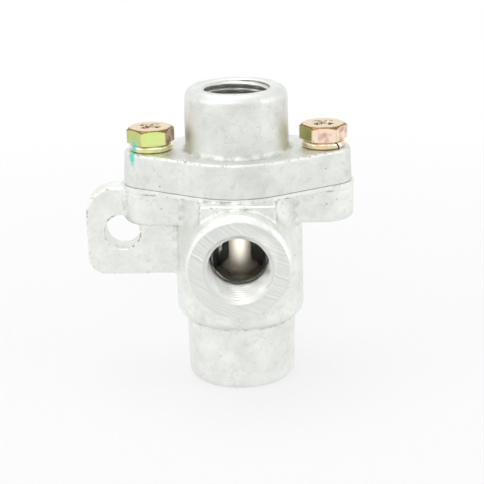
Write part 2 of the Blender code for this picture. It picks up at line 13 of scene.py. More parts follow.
import bpy
import numpy as np
from mathutils import Euler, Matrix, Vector

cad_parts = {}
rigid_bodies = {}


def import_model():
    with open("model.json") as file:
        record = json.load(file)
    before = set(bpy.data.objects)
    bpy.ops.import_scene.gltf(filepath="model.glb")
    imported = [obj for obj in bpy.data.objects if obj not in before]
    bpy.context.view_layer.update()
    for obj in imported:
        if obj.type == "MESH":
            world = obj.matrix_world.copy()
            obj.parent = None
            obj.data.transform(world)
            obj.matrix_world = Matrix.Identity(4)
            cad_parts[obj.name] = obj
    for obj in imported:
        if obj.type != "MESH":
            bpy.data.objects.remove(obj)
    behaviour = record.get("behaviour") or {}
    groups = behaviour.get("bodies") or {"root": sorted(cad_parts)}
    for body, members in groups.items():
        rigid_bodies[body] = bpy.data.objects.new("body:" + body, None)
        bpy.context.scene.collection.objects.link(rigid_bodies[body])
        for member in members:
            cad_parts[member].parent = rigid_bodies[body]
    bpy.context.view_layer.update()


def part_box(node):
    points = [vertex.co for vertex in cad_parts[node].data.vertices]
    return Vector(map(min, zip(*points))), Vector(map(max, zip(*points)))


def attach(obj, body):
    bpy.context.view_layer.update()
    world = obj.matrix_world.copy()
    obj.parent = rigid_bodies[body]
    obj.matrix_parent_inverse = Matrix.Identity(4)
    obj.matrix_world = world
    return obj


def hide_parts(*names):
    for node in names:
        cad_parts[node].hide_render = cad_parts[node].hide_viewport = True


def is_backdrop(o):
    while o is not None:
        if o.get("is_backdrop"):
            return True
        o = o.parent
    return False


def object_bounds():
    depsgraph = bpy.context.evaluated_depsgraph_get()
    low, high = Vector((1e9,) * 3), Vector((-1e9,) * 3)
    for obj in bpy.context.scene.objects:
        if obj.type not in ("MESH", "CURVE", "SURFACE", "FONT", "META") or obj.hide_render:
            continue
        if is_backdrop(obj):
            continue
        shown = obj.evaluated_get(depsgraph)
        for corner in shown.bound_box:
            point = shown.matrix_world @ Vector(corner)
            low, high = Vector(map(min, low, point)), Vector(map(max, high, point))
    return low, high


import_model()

# %% [markdown]
# ## Sizes from the frame
# Everything below is drawn in millimetres from the valve's upright axis, as a draughtsman
# would. The shuttle is turned about that axis, so the middle of its box gives its place, and
# the boxes of the other nodes give the levels. Typing the levels again would let them drift.
# The cover's plate is the exception: it stands a little higher here than in the solids, because
# less of the spring washers shows in the photograph.

# %% Axis and levels
MM = 0.001
shuttle_low, shuttle_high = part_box("shuttle")
AXIS = Vector(((shuttle_low.x + shuttle_high.x) / 2, (shuttle_low.y + shuttle_high.y) / 2, 0))


def extent(node):
    """Lowest and highest corner of a node, in millimetres from the valve's axis."""
    low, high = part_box(node)
    return np.round(np.array(low - AXIS) / MM, 2), np.round(np.array(high - AXIS) / MM, 2)


BODY_LOW, BODY_HIGH = extent("body")
COVER_LOW, COVER_HIGH = extent("cover")
WASHER_LOW, _ = extent("spring_washer_right")
SCREW_LOW, SCREW_HIGH = extent("cap_screw_right")
SHUTTLE_LOW, SHUTTLE_HIGH = extent("shuttle")
GUIDE_LOW, GUIDE_HIGH = extent("shuttle_guide")
SEAL_LOW, SEAL_HIGH = extent("cover_o_ring")

BODY_TOP = BODY_HIGH[2]
TOP_FACE = COVER_HIGH[2]
PORT_FACE = BODY_LOW[1]
EAR_END = BODY_LOW[0]
REST_GAP = 0.3
PLATE_TOP_RISE = 0.7
COVER_PLATE_TOP = WASHER_LOW[2] - REST_GAP + PLATE_TOP_RISE
SCREW_X = (SCREW_LOW[0] + SCREW_HIGH[0]) / 2
FLANGE_END_RADIUS = BODY_HIGH[0] - SCREW_X
FLANGE_HALF_DEPTH = BODY_HIGH[1]
print("axis at %.2f, %.2f mm; body %.1f mm high, port face at %.1f, ear end at %.1f"
      % (AXIS.x / MM, AXIS.y / MM, BODY_TOP, PORT_FACE, EAR_END))

# %% [markdown]
# ## Camera
# A product camera stands about a third of a metre away, a little above the valve, and looks
# down by 18 degrees. A long lens keeps the upright edges nearly parallel. The hand-held frame
# leans by about a degree, which the last turn gives.

# %% Camera
CAMERA_PLACE = (4.40, -319.29, 139.99)
CAMERA_PITCH_DEG = 18.45
CAMERA_TURN_DEG = 0.68
CAMERA_LEAN_DEG = -1.38
FOCAL_PIXELS = 1382.0
IMAGE_SIDE = 484
SENSOR_WIDTH = 36.0

lens = bpy.data.cameras.new("product_camera")
lens.sensor_width = SENSOR_WIDTH
lens.lens = SENSOR_WIDTH * FOCAL_PIXELS / IMAGE_SIDE
lens.clip_start = 0.01
camera = bpy.data.objects.new("product_camera", lens)
camera.location = Vector(CAMERA_PLACE) * MM + AXIS
turn = Euler((0, 0, math.radians(CAMERA_TURN_DEG))).to_matrix()
tilt = Euler((math.radians(90 - CAMERA_PITCH_DEG), 0, 0)).to_matrix()
lean = Euler((0, 0, math.radians(CAMERA_LEAN_DEG))).to_matrix()
camera.rotation_euler = (turn @ tilt @ lean).to_euler()
bpy.context.scene.collection.objects.link(camera)
bpy.context.scene.camera = camera
bpy.context.scene.view_settings.view_transform = "Standard"
print("lens %.1f mm" % lens.lens)

# %% [markdown]
# ## Colours and nodes
# Colours are written as the hex values that a picture shows. Shaders work in linear light, so
# one function turns them. One more function adds a node with its settings and its links.

# %% Helpers for materials


def linear(hex_colour):
    """An sRGB hex colour as linear RGBA."""
    channels = [int(hex_colour[i:i + 2], 16) / 255 for i in (1, 3, 5)]
    return (*[c / 12.92 if c <= 0.04045 else ((c + 0.055) / 1.055) ** 2.4 for c in channels], 1.0)


def add(tree, kind, inputs=None, **settings):
    """Adds a node. Inputs are values or other nodes' output sockets, by name or number."""
    made = tree.nodes.new("ShaderNode" + kind)
    for key, value in settings.items():
        setattr(made, key, value)
    for key, value in (inputs or {}).items():
        if isinstance(value, bpy.types.NodeSocket):
            tree.links.new(value, made.inputs[key])
        else:
            made.inputs[key].default_value = value
    return made


print("linear of #808080:", [round(c, 3) for c in linear("#808080")])

# %% [markdown]
# A finish starts from points in millimetres, so every pattern scale is a real one. Some teal
# marking paint has run down at the left screw, so the castings and the screws both need drops of
# paint: balls placed on the valve, joined where they overlap.

# %% Points in millimetres, and drops of paint
TEAL_PAINT = "#6FD6C6"
DROP_CORE = 0.6
FACTOR, FLOAT_A, FLOAT_B, COLOUR_A, COLOUR_B, MIXED = 0, 2, 3, 6, 7, 2


def new_finish(name):
    """An empty material, its node tree and its points in millimetres from the origin."""
    made = bpy.data.materials.new(name)
    made.use_nodes = True
    tree = made.node_tree
    place = add(tree, "TexCoord")
    points = add(tree, "VectorMath", {0: place.outputs["Object"], "Scale": 1 / MM}, operation="SCALE")
    return made, tree, points.outputs[0]


def painted(tree, points, drops):
    """How far a point lies under drops of paint, each (x, y, z, radius) from the valve's axis."""
    total = 0.0
    for x, y, z, radius in drops:
        centre = Vector((x, y, z)) + AXIS / MM
        away = add(tree, "VectorMath", {0: points, 1: centre}, operation="DISTANCE")
        under = add(tree, "MapRange", {"Value": away.outputs["Value"], "From Min": DROP_CORE * radius,
                                       "From Max": radius, "To Min": 1.0, "To Max": 0.0})
        total = add(tree, "Math", {0: under.outputs[0], 1: total}, operation="MAXIMUM").outputs[0]
    return total


print("paint", TEAL_PAINT)

# %% [markdown]
# ## Light and floor
# The valve stands on white paper under broad soft lights, so its metal mirrors white nearly all
# round and only its deep corners go dark. A world that is white to mirrored and camera rays
# gives that even surround. It darkens low in front, where a photographer and the table's edge
# would be, so that upright faces keep some modelling.

# %% World
SURROUND_DIFFUSE, SURROUND_DARK = 0.8, 0.6
DARK_BELOW, WHITE_ABOVE = -0.1, 0.45
FRONT_WHOLE, FRONT_GONE = -0.85, -0.25
world = bpy.data.worlds.new("white_surround")
bpy.context.scene.world = world
world.use_nodes = True
sky = world.node_tree
seen = add(sky, "LightPath")
mirrored = add(sky, "Math", {0: seen.outputs["Is Glossy Ray"], 1: seen.outputs["Is Transmission Ray"]},
               operation="MAXIMUM")
straight = add(sky, "Math", {0: seen.outputs["Is Camera Ray"], 1: mirrored.outputs[0]},
               operation="MAXIMUM")
direction = add(sky, "TexCoord")
split = add(sky, "SeparateXYZ", {0: direction.outputs["Generated"]})
front_low = add(sky, "MapRange", {"Value": split.outputs["Z"], "From Min": DARK_BELOW,
                                  "From Max": WHITE_ABOVE, "To Min": SURROUND_DARK, "To Max": 1.0},
                interpolation_type="SMOOTHSTEP")
front = add(sky, "MapRange", {"Value": split.outputs["Y"], "From Min": FRONT_WHOLE,
                              "From Max": FRONT_GONE, "To Min": 1.0, "To Max": 0.0},
            interpolation_type="SMOOTHSTEP")
shade = add(sky, "Mix", {FACTOR: front.outputs[0], FLOAT_A: 1.0, FLOAT_B: front_low.outputs[0]})
level = add(sky, "Mix", {FACTOR: mirrored.outputs[0], FLOAT_A: 1.0, FLOAT_B: shade.outputs[0]})
strength = add(sky, "Mix", {FACTOR: straight.outputs[0], FLOAT_A: SURROUND_DIFFUSE,
                            FLOAT_B: level.outputs[0]})
background = sky.nodes["Background"]
background.inputs["Color"].default_value = (1, 1, 1, 1)
sky.links.new(strength.outputs[0], background.inputs["Strength"])
print("world with", len(sky.nodes), "nodes")

# %% [markdown]
# Soft boxes give direction: one overhead, one on each side and one over the camera. Giving each
# its brightness, and not its power, keeps it from blowing out when it shows in a polished edge.

# %% Soft boxes
VALVE_MIDDLE = (0, 0, 38)


def place_light(light, place, aim):
    """Hangs a light at a place in millimetres from the valve's axis and turns it to a point."""
    made = bpy.data.objects.new(light.name, light)
    made.location = Vector(place) * MM + AXIS
    made.rotation_euler = (Vector(place) - Vector(aim)).to_track_quat("Z", "Y").to_euler()
    bpy.context.scene.collection.objects.link(made)


def soft_box(name, place, size, brightness):
    """A square area light, in millimetres. Brightness 1 shows as white in a mirror."""
    light = bpy.data.lights.new(name, "AREA")
    light.size = size * MM
    light.energy = brightness * math.pi * light.size ** 2
    place_light(light, place, VALVE_MIDDLE)


soft_box("overhead_box", (-80, 60, 620), 420, 1.25)
soft_box("left_box", (-520, -260, 300), 380, 0.9)
soft_box("right_box", (520, -160, 240), 300, 1.1)
soft_box("front_box", (-60, -420, 360), 200, 1.6)
print("four soft boxes")

# %% [markdown]
# The delivery port is too deep for the soft boxes. A photographer would put a tube on a small
# lamp, so that its beam passes through the port's mouth and lights the shuttle, and nothing
# outside.

# %% Lamp into the delivery port
PORT_LAMP_PLACE, PORT_LAMP_AIM = (40, -244, 70), (-1.2, 0, 33.6)
PORT_LAMP_WATTS, PORT_LAMP_SIZE_MM, PORT_LAMP_CONE_DEG, PORT_LAMP_SOFT = 4.9, 2.5, 2.3, 0.9
snoot = bpy.data.lights.new("port_lamp", "SPOT")
snoot.energy = PORT_LAMP_WATTS
snoot.shadow_soft_size = PORT_LAMP_SIZE_MM * MM
snoot.spot_size = math.radians(PORT_LAMP_CONE_DEG)
snoot.spot_blend = PORT_LAMP_SOFT
place_light(snoot, PORT_LAMP_PLACE, PORT_LAMP_AIM)
print("port lamp %.1f W" % snoot.energy)

# %% [markdown]
# The floor is white paper. It has to go pure white behind the valve and still take a soft shadow
# at its foot. For the camera and for mirrored rays it glows in part near the valve, and wholly
# far from it.

# %% Floor
FLOOR_SIDE = 12.0
FLOOR_SHOWS_WHITE = 0.6
FLOOR_NEAR, FLOOR_FAR = 70.0, 260.0
PAPER_COLOUR, PAPER_ROUGHNESS, PAPER_SHINE = "#F0F0F0", 0.9, 0.1
floor_mesh = bpy.data.meshes.new("paper_floor")
half = FLOOR_SIDE / 2
floor_mesh.from_pydata([(-half, -half, 0), (half, -half, 0), (half, half, 0), (-half, half, 0)],
                       [], [(0, 1, 2, 3)])
floor = bpy.data.objects.new("paper_floor", floor_mesh)
bpy.context.scene.collection.objects.link(floor)
paper, tree, points = new_finish("matt_white_paper")
shader = tree.nodes["Principled BSDF"]
shader.inputs["Base Color"].default_value = linear(PAPER_COLOUR)
shader.inputs["Roughness"].default_value = PAPER_ROUGHNESS
shader.inputs["Specular IOR Level"].default_value = PAPER_SHINE
path = add(tree, "LightPath")
direct = add(tree, "Math", {0: path.outputs["Is Camera Ray"], 1: path.outputs["Is Glossy Ray"]},
             operation="MAXIMUM")
reach = add(tree, "VectorMath", {0: points}, operation="LENGTH")
white = add(tree, "MapRange", {"Value": reach.outputs["Value"], "From Min": FLOOR_NEAR,
                               "From Max": FLOOR_FAR, "To Min": FLOOR_SHOWS_WHITE, "To Max": 1.0})
amount = add(tree, "Math", {0: direct.outputs[0], 1: white.outputs[0]}, operation="MULTIPLY")
glow = add(tree, "Emission", {"Color": (1, 1, 1, 1), "Strength": 1.0})
both = add(tree, "MixShader", {0: amount.outputs[0], 1: shader.outputs[0], 2: glow.outputs[0]})
tree.links.new(both.outputs[0], tree.nodes["Material Output"].inputs["Surface"])
floor_mesh.materials.append(paper)
floor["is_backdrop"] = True
print("floor %.0f m square" % FLOOR_SIDE)

# %% [markdown]
# ## Die-cast aluminium
# The castings are an aluminium and silicon alloy, shaken with ceramic stones after casting.
# That leaves a pale, slightly green grey with cloudy patches a few millimetres wide, a fine
# grain and a few pin-sized pits. A metal has no colour under its surface, so the clouds are in
# the reflectance and in the roughness together, and the grain is a shallow bump.

# %% Die-cast aluminium: clouds and pits
GRAIN_MM = 0.45
CLOUD_MM = 5.5
SMEAR_MM, SMEAR_AMOUNT = 1.6, 0.55
PIT_SPACING_MM, PIT_RADIUS_MM, PIT_FADE, PIT_RAG_MM, PIT_RARITY = 2.6, 0.13, 2.4, 0.9, 0.62

cast, tree, points = new_finish("die_cast_aluminium")
clouds = add(tree, "TexNoise", {"Vector": points, "Scale": 1 / CLOUD_MM, "Detail": 5, "Roughness": 0.62})
smears = add(tree, "TexNoise", {"Vector": points, "Scale": 1 / SMEAR_MM, "Detail": 3, "Roughness": 0.6,
                                "Distortion": 0.8})
grain = add(tree, "TexNoise", {"Vector": points, "Scale": 1 / GRAIN_MM, "Detail": 3, "Roughness": 0.7})
ragged = add(tree, "VectorMath", {0: grain.outputs["Color"], "Scale": PIT_RAG_MM}, operation="SCALE")
shifted = add(tree, "VectorMath", {0: points, 1: ragged.outputs[0]}, operation="ADD")
cells = add(tree, "TexVoronoi", {"Vector": shifted.outputs[0], "Scale": 1 / PIT_SPACING_MM,
                                 "Randomness": 1.0})
pick = add(tree, "SeparateColor", {0: cells.outputs["Color"]})
chosen = add(tree, "MapRange", {"Value": pick.outputs[0], "From Min": PIT_RARITY, "From Max": 1.0})
near = add(tree, "MapRange", {"Value": cells.outputs["Distance"],
                              "From Min": PIT_RADIUS_MM / PIT_SPACING_MM,
                              "From Max": PIT_FADE * PIT_RADIUS_MM / PIT_SPACING_MM,
                              "To Min": 1.0, "To Max": 0.0})
pits = add(tree, "Math", {0: chosen.outputs[0], 1: near.outputs[0]}, operation="MULTIPLY")
cloud_amount = add(tree, "MapRange", {"Value": clouds.outputs["Fac"], "From Min": 0.33, "From Max": 0.66})
base = add(tree, "Mix", {FACTOR: cloud_amount.outputs[0], COLOUR_A: linear("#DFE1DD"),
                         COLOUR_B: linear("#EDEFEB")}, data_type="RGBA")
smear_amount = add(tree, "MapRange", {"Value": smears.outputs["Fac"], "From Min": 0.52, "From Max": 0.75,
                                      "To Max": SMEAR_AMOUNT})
smeared = add(tree, "Mix", {FACTOR: smear_amount.outputs[0], COLOUR_A: base.outputs[MIXED],
                            COLOUR_B: linear("#CCD0CA")}, data_type="RGBA")
pitted = add(tree, "Mix", {FACTOR: pits.outputs[0], COLOUR_A: smeared.outputs[MIXED],
                           COLOUR_B: linear("#9DA29C")}, data_type="RGBA")
print(cast.name, "so far", len(tree.nodes), "nodes")

# %% [markdown]
# Handling rubs the outer edges bright and nicks them. The inner corners get patchy painted shade.
# The mesh carries a number for how sharply it bends, and the finish reads it. The body's colour
# is painted about a tenth lighter than the cover's, as painted light.

# %% Die-cast aluminium: wear, painted shade and light, and paint
NICK_MM = 0.95
SHADE_PATCH_MM = 2.2
WORN_FROM, WORN_WHOLLY = 0.6, 1.7
CORNER_SHADE_FROM, CORNER_SHADE_WHOLLY = -0.3, -1.1
BODY_PAINTED_LIGHT, COVER_PAINTED_SHADE, PAINTED_LIGHT_EDGE_MM = 1.09, 0.98, 0.05
GRAIN_STRENGTH, GRAIN_DEPTH_MM = 0.24, 0.06
COVER_PAINT = [(-25.2, -5.2, 57.0, 1.4), (-25.1, -5.3, 56.0, 1.15), (-25.0, -5.4, 55.1, 0.85),
               (-24.9, -5.5, 54.3, 0.6)]

bend = add(tree, "Attribute", attribute_name="bend")
outer = add(tree, "MapRange", {"Value": bend.outputs["Fac"], "From Min": WORN_FROM,
                               "From Max": WORN_WHOLLY})
inner = add(tree, "MapRange", {"Value": bend.outputs["Fac"], "From Min": CORNER_SHADE_FROM,
                               "From Max": CORNER_SHADE_WHOLLY})
knocks = add(tree, "TexNoise", {"Vector": points, "Scale": 1 / NICK_MM, "Detail": 4, "Roughness": 0.7})
struck = add(tree, "MapRange", {"Value": clouds.outputs["Fac"], "From Min": 0.4, "From Max": 0.6,
                                "To Min": 0.07, "To Max": -0.03})
knock = add(tree, "Math", {0: knocks.outputs["Fac"], 1: struck.outputs[0]}, operation="SUBTRACT")
knocked = add(tree, "MapRange", {"Value": knock.outputs[0], "From Min": 0.52, "From Max": 0.62})
nicks = add(tree, "Math", {0: outer.outputs[0], 1: knocked.outputs[0]}, operation="MULTIPLY")
rubbed = add(tree, "Mix", {FACTOR: outer.outputs[0], COLOUR_A: pitted.outputs[MIXED],
                           COLOUR_B: linear("#E9EBE7")}, data_type="RGBA")
nicked = add(tree, "Mix", {FACTOR: nicks.outputs[0], COLOUR_A: rubbed.outputs[MIXED],
                           COLOUR_B: linear("#AEB2AB")}, data_type="RGBA")
# Painted shade: the inner corners are darkened in patches, towards #A9ADA3.
shade_patches = add(tree, "TexNoise", {"Vector": points, "Scale": 1 / SHADE_PATCH_MM, "Detail": 4, "Roughness": 0.65})
patchy_shade = add(tree, "MapRange", {"Value": shade_patches.outputs["Fac"], "From Min": 0.42, "From Max": 0.66})
corner_shade = add(tree, "Math", {0: inner.outputs[0], 1: patchy_shade.outputs[0]}, operation="MULTIPLY")
skin_colour = add(tree, "Mix", {FACTOR: corner_shade.outputs[0], COLOUR_A: nicked.outputs[MIXED],
                                COLOUR_B: linear("#A9ADA3")}, data_type="RGBA")
rough = add(tree, "MapRange", {"Value": smears.outputs["Fac"], "From Min": 0.3, "From Max": 0.7,
                               "To Min": 0.42, "To Max": 0.56})
dented = add(tree, "Math", {0: nicks.outputs[0], 1: pits.outputs[0]}, operation="MAXIMUM")
relief = add(tree, "Math", {0: dented.outputs[0], 1: -1.0, 2: grain.outputs["Fac"]},
             operation="MULTIPLY_ADD")
grain_bump = add(tree, "Bump", {"Height": relief.outputs[0], "Strength": GRAIN_STRENGTH,
                                "Distance": GRAIN_DEPTH_MM * MM})
height = add(tree, "SeparateXYZ", {0: points})
# Painted light: below the joint the body's colour is made lighter, and the cover's a little darker.
painted_light_scale = add(tree, "MapRange", {"Value": height.outputs["Z"], "From Min": BODY_TOP,
                              "From Max": BODY_TOP + PAINTED_LIGHT_EDGE_MM, "To Min": BODY_PAINTED_LIGHT,
                              "To Max": COVER_PAINTED_SHADE})
painted_light_colour = add(tree, "VectorMath", {0: skin_colour.outputs[MIXED], "Scale": painted_light_scale.outputs[0]},
             operation="SCALE")
paint = painted(tree, points, COVER_PAINT)
coloured = add(tree, "Mix", {FACTOR: paint, COLOUR_A: painted_light_colour.outputs[0],
                             COLOUR_B: linear(TEAL_PAINT)}, data_type="RGBA")
bare = add(tree, "Math", {0: 1.0, 1: paint}, operation="SUBTRACT")
shader = tree.nodes["Principled BSDF"]
tree.links.new(bare.outputs[0], shader.inputs["Metallic"])
tree.links.new(coloured.outputs[MIXED], shader.inputs["Base Color"])
tree.links.new(rough.outputs[0], shader.inputs["Roughness"])
tree.links.new(grain_bump.outputs[0], shader.inputs["Normal"])
print(cast.name, "with", len(tree.nodes), "nodes")

# %% [markdown]
# ## Faced aluminium
# The port face, the lower rim and the joint between body and cover are milled after casting. A
# face mill is much wider than the port, so its teeth leave long flat arcs about a far centre.
# The arcs are noise in the distance from that centre: broad tooth marks with finer ones on
# them, drawn about three times as coarse as the real feed of 0.1 mm so that they show.

# %% Faced aluminium
PORT_HEIGHT = 34.9
MILL_CENTRE = (28.0, 0.0, 83.0)
TOOTH_MARK_MM, FEED_MARK_MM, TOOTH_SHARE = 0.6, 0.27, 0.55
MILL_DRIFT_MM, PATCHES_PER_MM, PATCH_LEAST = 1.6, 0.22, 0.25
MARK_STRENGTH, MARK_DEPTH_MM = 0.4, 0.09

faced, tree, points = new_finish("faced_aluminium")
mill = Vector(MILL_CENTRE) + AXIS / MM
from_mill = add(tree, "VectorMath", {0: points, 1: mill}, operation="SUBTRACT")
flat = add(tree, "VectorMath", {0: from_mill.outputs[0], 1: (1, 0, 1)}, operation="MULTIPLY")
distance = add(tree, "VectorMath", {0: flat.outputs[0]}, operation="LENGTH")
patches = add(tree, "TexNoise", {"Vector": points, "Scale": PATCHES_PER_MM, "Detail": 3,
                                 "Roughness": 0.6})
drift = add(tree, "Math", {0: patches.outputs["Fac"], 1: MILL_DRIFT_MM, 2: distance.outputs["Value"]},
            operation="MULTIPLY_ADD")
teeth = add(tree, "TexNoise", {"W": drift.outputs[0], "Scale": 1 / TOOTH_MARK_MM, "Detail": 1},
            noise_dimensions="1D")
feed = add(tree, "TexNoise", {"W": drift.outputs[0], "Scale": 1 / FEED_MARK_MM, "Detail": 3,
                              "Roughness": 0.75}, noise_dimensions="1D")
deep = add(tree, "MapRange", {"Value": patches.outputs["Fac"], "From Min": 0.35, "From Max": 0.65,
                              "To Min": PATCH_LEAST, "To Max": 1.0})
lines = add(tree, "Mix", {FACTOR: TOOTH_SHARE, FLOAT_A: feed.outputs["Fac"],
                          FLOAT_B: teeth.outputs["Fac"]})
shine = add(tree, "MapRange", {"Value": lines.outputs[0], "From Min": 0.34, "From Max": 0.66})
tone = add(tree, "Mix", {FACTOR: shine.outputs[0], COLOUR_A: linear("#D6D9D3"),
                         COLOUR_B: linear("#F7F8F5")}, data_type="RGBA")
soft = add(tree, "Mix", {FACTOR: deep.outputs[0], COLOUR_A: linear("#E1E4DF"),
                         COLOUR_B: tone.outputs[MIXED]}, data_type="RGBA")
marks = add(tree, "Math", {0: lines.outputs[0], 1: deep.outputs[0]}, operation="MULTIPLY")
cut_bump = add(tree, "Bump", {"Height": marks.outputs[0], "Strength": MARK_STRENGTH,
                              "Distance": MARK_DEPTH_MM * MM})
shader = tree.nodes["Principled BSDF"]
shader.inputs["Metallic"].default_value = 1.0
shader.inputs["Roughness"].default_value = 0.36
tree.links.new(soft.outputs[MIXED], shader.inputs["Base Color"])
tree.links.new(cut_bump.outputs[0], shader.inputs["Normal"])
print(faced.name, "with", len(tree.nodes), "nodes")

# %% [markdown]
# ## Tapped and bored aluminium
# Inside the ports the tap leaves a bright surface with fine tearing along the thread. It is
# smoother than the cast skin, so it shows sharp light and dark bands. The roots of the thread and
# the passage behind the delivery port are darkened with painted shade, by a number the mesh carries.

# %% Bored aluminium
TEARS_PER_MM, TEAR_STRENGTH, TEAR_DEPTH_MM = 2.4, 0.15, 0.04

bored, tree, points = new_finish("bored_aluminium")
tears = add(tree, "TexNoise", {"Vector": points, "Scale": TEARS_PER_MM, "Detail": 4,
                               "Roughness": 0.7})
bright = add(tree, "Mix", {FACTOR: tears.outputs["Fac"], COLOUR_A: linear("#E2E3DE"),
                           COLOUR_B: linear("#F5F6F2")}, data_type="RGBA")
# Painted shade: the mesh's number "root" darkens the thread roots and the passage.
root = add(tree, "Attribute", attribute_name="root")
shaded_bore_colour = add(tree, "Mix", {FACTOR: root.outputs["Fac"], COLOUR_A: bright.outputs[MIXED],
                            COLOUR_B: linear("#5E605A")}, data_type="RGBA")
tear_bump = add(tree, "Bump", {"Height": tears.outputs["Fac"], "Strength": TEAR_STRENGTH,
                               "Distance": TEAR_DEPTH_MM * MM})
shader = tree.nodes["Principled BSDF"]
shader.inputs["Metallic"].default_value = 1.0
shader.inputs["Roughness"].default_value = 0.4
tree.links.new(shaded_bore_colour.outputs[MIXED], shader.inputs["Base Color"])
tree.links.new(tear_bump.outputs[0], shader.inputs["Normal"])
print(bored.name, "with", len(tree.nodes), "nodes")

# %% [markdown]
# ## Yellow-passivated zinc
# The screws and washers are zinc-plated steel, dipped in a chromate that leaves a film thinner
# than a wavelength of light. Its colour follows its thickness, from lime through gold to pink
# and brown, and changes from flat to flat. Each face of a screw carries a number for its film,
# and a ramp turns that number into the film's colour, with a little drift inside a face. A
# second number says where a white highlight is painted on.

# %% Yellow-passivated zinc
FILM_COLOURS = [(0.0, "#D6D098"), (0.13, "#CBD08E"), (0.25, "#BCCB7C"), (0.4, "#DCF293"),
                (0.53, "#EADDB0"), (0.66, "#EDD3B2"), (0.8, "#FFE4D2"), (0.88, "#CDA893"),
                (0.95, "#8E7046")]
FILM_DRIFT, DRIFTS_PER_MM, PLATING_GRAINS_PER_MM = 0.07, 0.45, 3.0
PAINTED_HIGHLIGHT_WHITE = "#FDFCF6"
SCREW_PAINT = [(-24.5, -3.5, 58.2, 1.2), (-24.4, -3.4, 59.5, 0.9)]

zinc, tree, points = new_finish("yellow_passivated_zinc")
film = add(tree, "Attribute", attribute_name="film")
cloud = add(tree, "TexNoise", {"Vector": points, "Scale": DRIFTS_PER_MM, "Detail": 3,
                               "Roughness": 0.55})
shift = add(tree, "MapRange", {"Value": cloud.outputs["Fac"], "From Min": 0.3, "From Max": 0.7,
                               "To Min": -FILM_DRIFT, "To Max": FILM_DRIFT})
number = add(tree, "Math", {0: film.outputs["Fac"], 1: shift.outputs[0]}, operation="ADD",
             use_clamp=True)
ramp = add(tree, "ValToRGB", {0: number.outputs[0]})
stops = ramp.color_ramp.elements
stops[0].position, stops[0].color = FILM_COLOURS[0][0], linear(FILM_COLOURS[0][1])
stops[1].position, stops[1].color = FILM_COLOURS[-1][0], linear(FILM_COLOURS[-1][1])
# Painted highlight: the film turns white where the mesh's number says.
painted_highlight = add(tree, "Attribute", attribute_name="painted_highlight")
plated = add(tree, "Mix", {FACTOR: painted_highlight.outputs["Fac"], COLOUR_A: ramp.outputs[0],
                           COLOUR_B: linear(PAINTED_HIGHLIGHT_WHITE)}, data_type="RGBA")
paint = painted(tree, points, SCREW_PAINT)
coloured = add(tree, "Mix", {FACTOR: paint, COLOUR_A: plated.outputs[MIXED],
                             COLOUR_B: linear(TEAL_PAINT)}, data_type="RGBA")
bare = add(tree, "Math", {0: 1.0, 1: paint}, operation="SUBTRACT")
for position, colour in FILM_COLOURS[1:-1]:
    stops.new(position).color = linear(colour)
fine = add(tree, "TexNoise", {"Vector": points, "Scale": PLATING_GRAINS_PER_MM, "Detail": 3})
bump = add(tree, "Bump", {"Height": fine.outputs["Fac"], "Strength": 0.12, "Distance": 0.03 * MM})
shader = tree.nodes["Principled BSDF"]
tree.links.new(bare.outputs[0], shader.inputs["Metallic"])
shader.inputs["Roughness"].default_value = 0.22
tree.links.new(coloured.outputs[MIXED], shader.inputs["Base Color"])
tree.links.new(bump.outputs[0], shader.inputs["Normal"])
print(zinc.name, "with", len(FILM_COLOURS), "film colours")

# %% [markdown]
# ## Inside finishes
# The shuttle is turned from aluminium bar, the guide cage is drawn steel, and the pads and the
# ring are moulded nitrile rubber, black and faintly dusty.

# %% Turned aluminium, drawn steel and rubber
turned, tree, points = new_finish("turned_aluminium")
along = add(tree, "SeparateXYZ", {0: points})
feed = add(tree, "TexNoise", {"W": along.outputs["Z"], "Scale": 2.5, "Detail": 3}, noise_dimensions="1D")
feed_bump = add(tree, "Bump", {"Height": feed.outputs["Fac"], "Strength": 0.2, "Distance": 0.05 * MM})
blot = add(tree, "TexNoise", {"Vector": points, "Scale": 0.6, "Detail": 3})
tint = add(tree, "Mix", {FACTOR: blot.outputs["Fac"], COLOUR_A: linear("#DDD6CA"),
                         COLOUR_B: linear("#F0ECE2")}, data_type="RGBA")
shader = tree.nodes["Principled BSDF"]
shader.inputs["Metallic"].default_value = 1.0
shader.inputs["Roughness"].default_value = 0.82
tree.links.new(tint.outputs[MIXED], shader.inputs["Base Color"])
tree.links.new(feed_bump.outputs[0], shader.inputs["Normal"])

steel, tree, points = new_finish("drawn_steel")
lines = add(tree, "Mapping", {"Vector": points, "Scale": (4, 4, 0.3)})
draw = add(tree, "TexNoise", {"Vector": lines.outputs[0], "Scale": 1.0, "Detail": 3})
grey = add(tree, "Mix", {FACTOR: draw.outputs["Fac"], COLOUR_A: linear("#9A9C9D"),
                         COLOUR_B: linear("#C4C6C6")}, data_type="RGBA")
shader = tree.nodes["Principled BSDF"]
shader.inputs["Metallic"].default_value = 1.0
shader.inputs["Roughness"].default_value = 0.35
tree.links.new(grey.outputs[MIXED], shader.inputs["Base Color"])

rubber, tree, points = new_finish("nitrile_rubber")
dust = add(tree, "TexNoise", {"Vector": points, "Scale": 1.5, "Detail": 4})
black = add(tree, "Mix", {FACTOR: dust.outputs["Fac"], COLOUR_A: linear("#161616"),
                          COLOUR_B: linear("#2A2A29")}, data_type="RGBA")
shader = tree.nodes["Principled BSDF"]
shader.inputs["Roughness"].default_value = 0.6
tree.links.new(black.outputs[MIXED], shader.inputs["Base Color"])
print(turned.name, steel.name, rubber.name)

# %% [markdown]
# ## Shapes as distances
# A casting has no sharp inside corner: molten metal flows round every edge, and the die is
# ground with a radius. Joining solids with booleans and bevelling the seams fails where three
# forms meet. A distance function gives the distance from any point to the surface, and two such
# functions join with a true round fillet by one formula, so that way was chosen.

# %% Joining rules for distances
RAW_ROUND, GRID_MARGIN = 0.1, 0.7


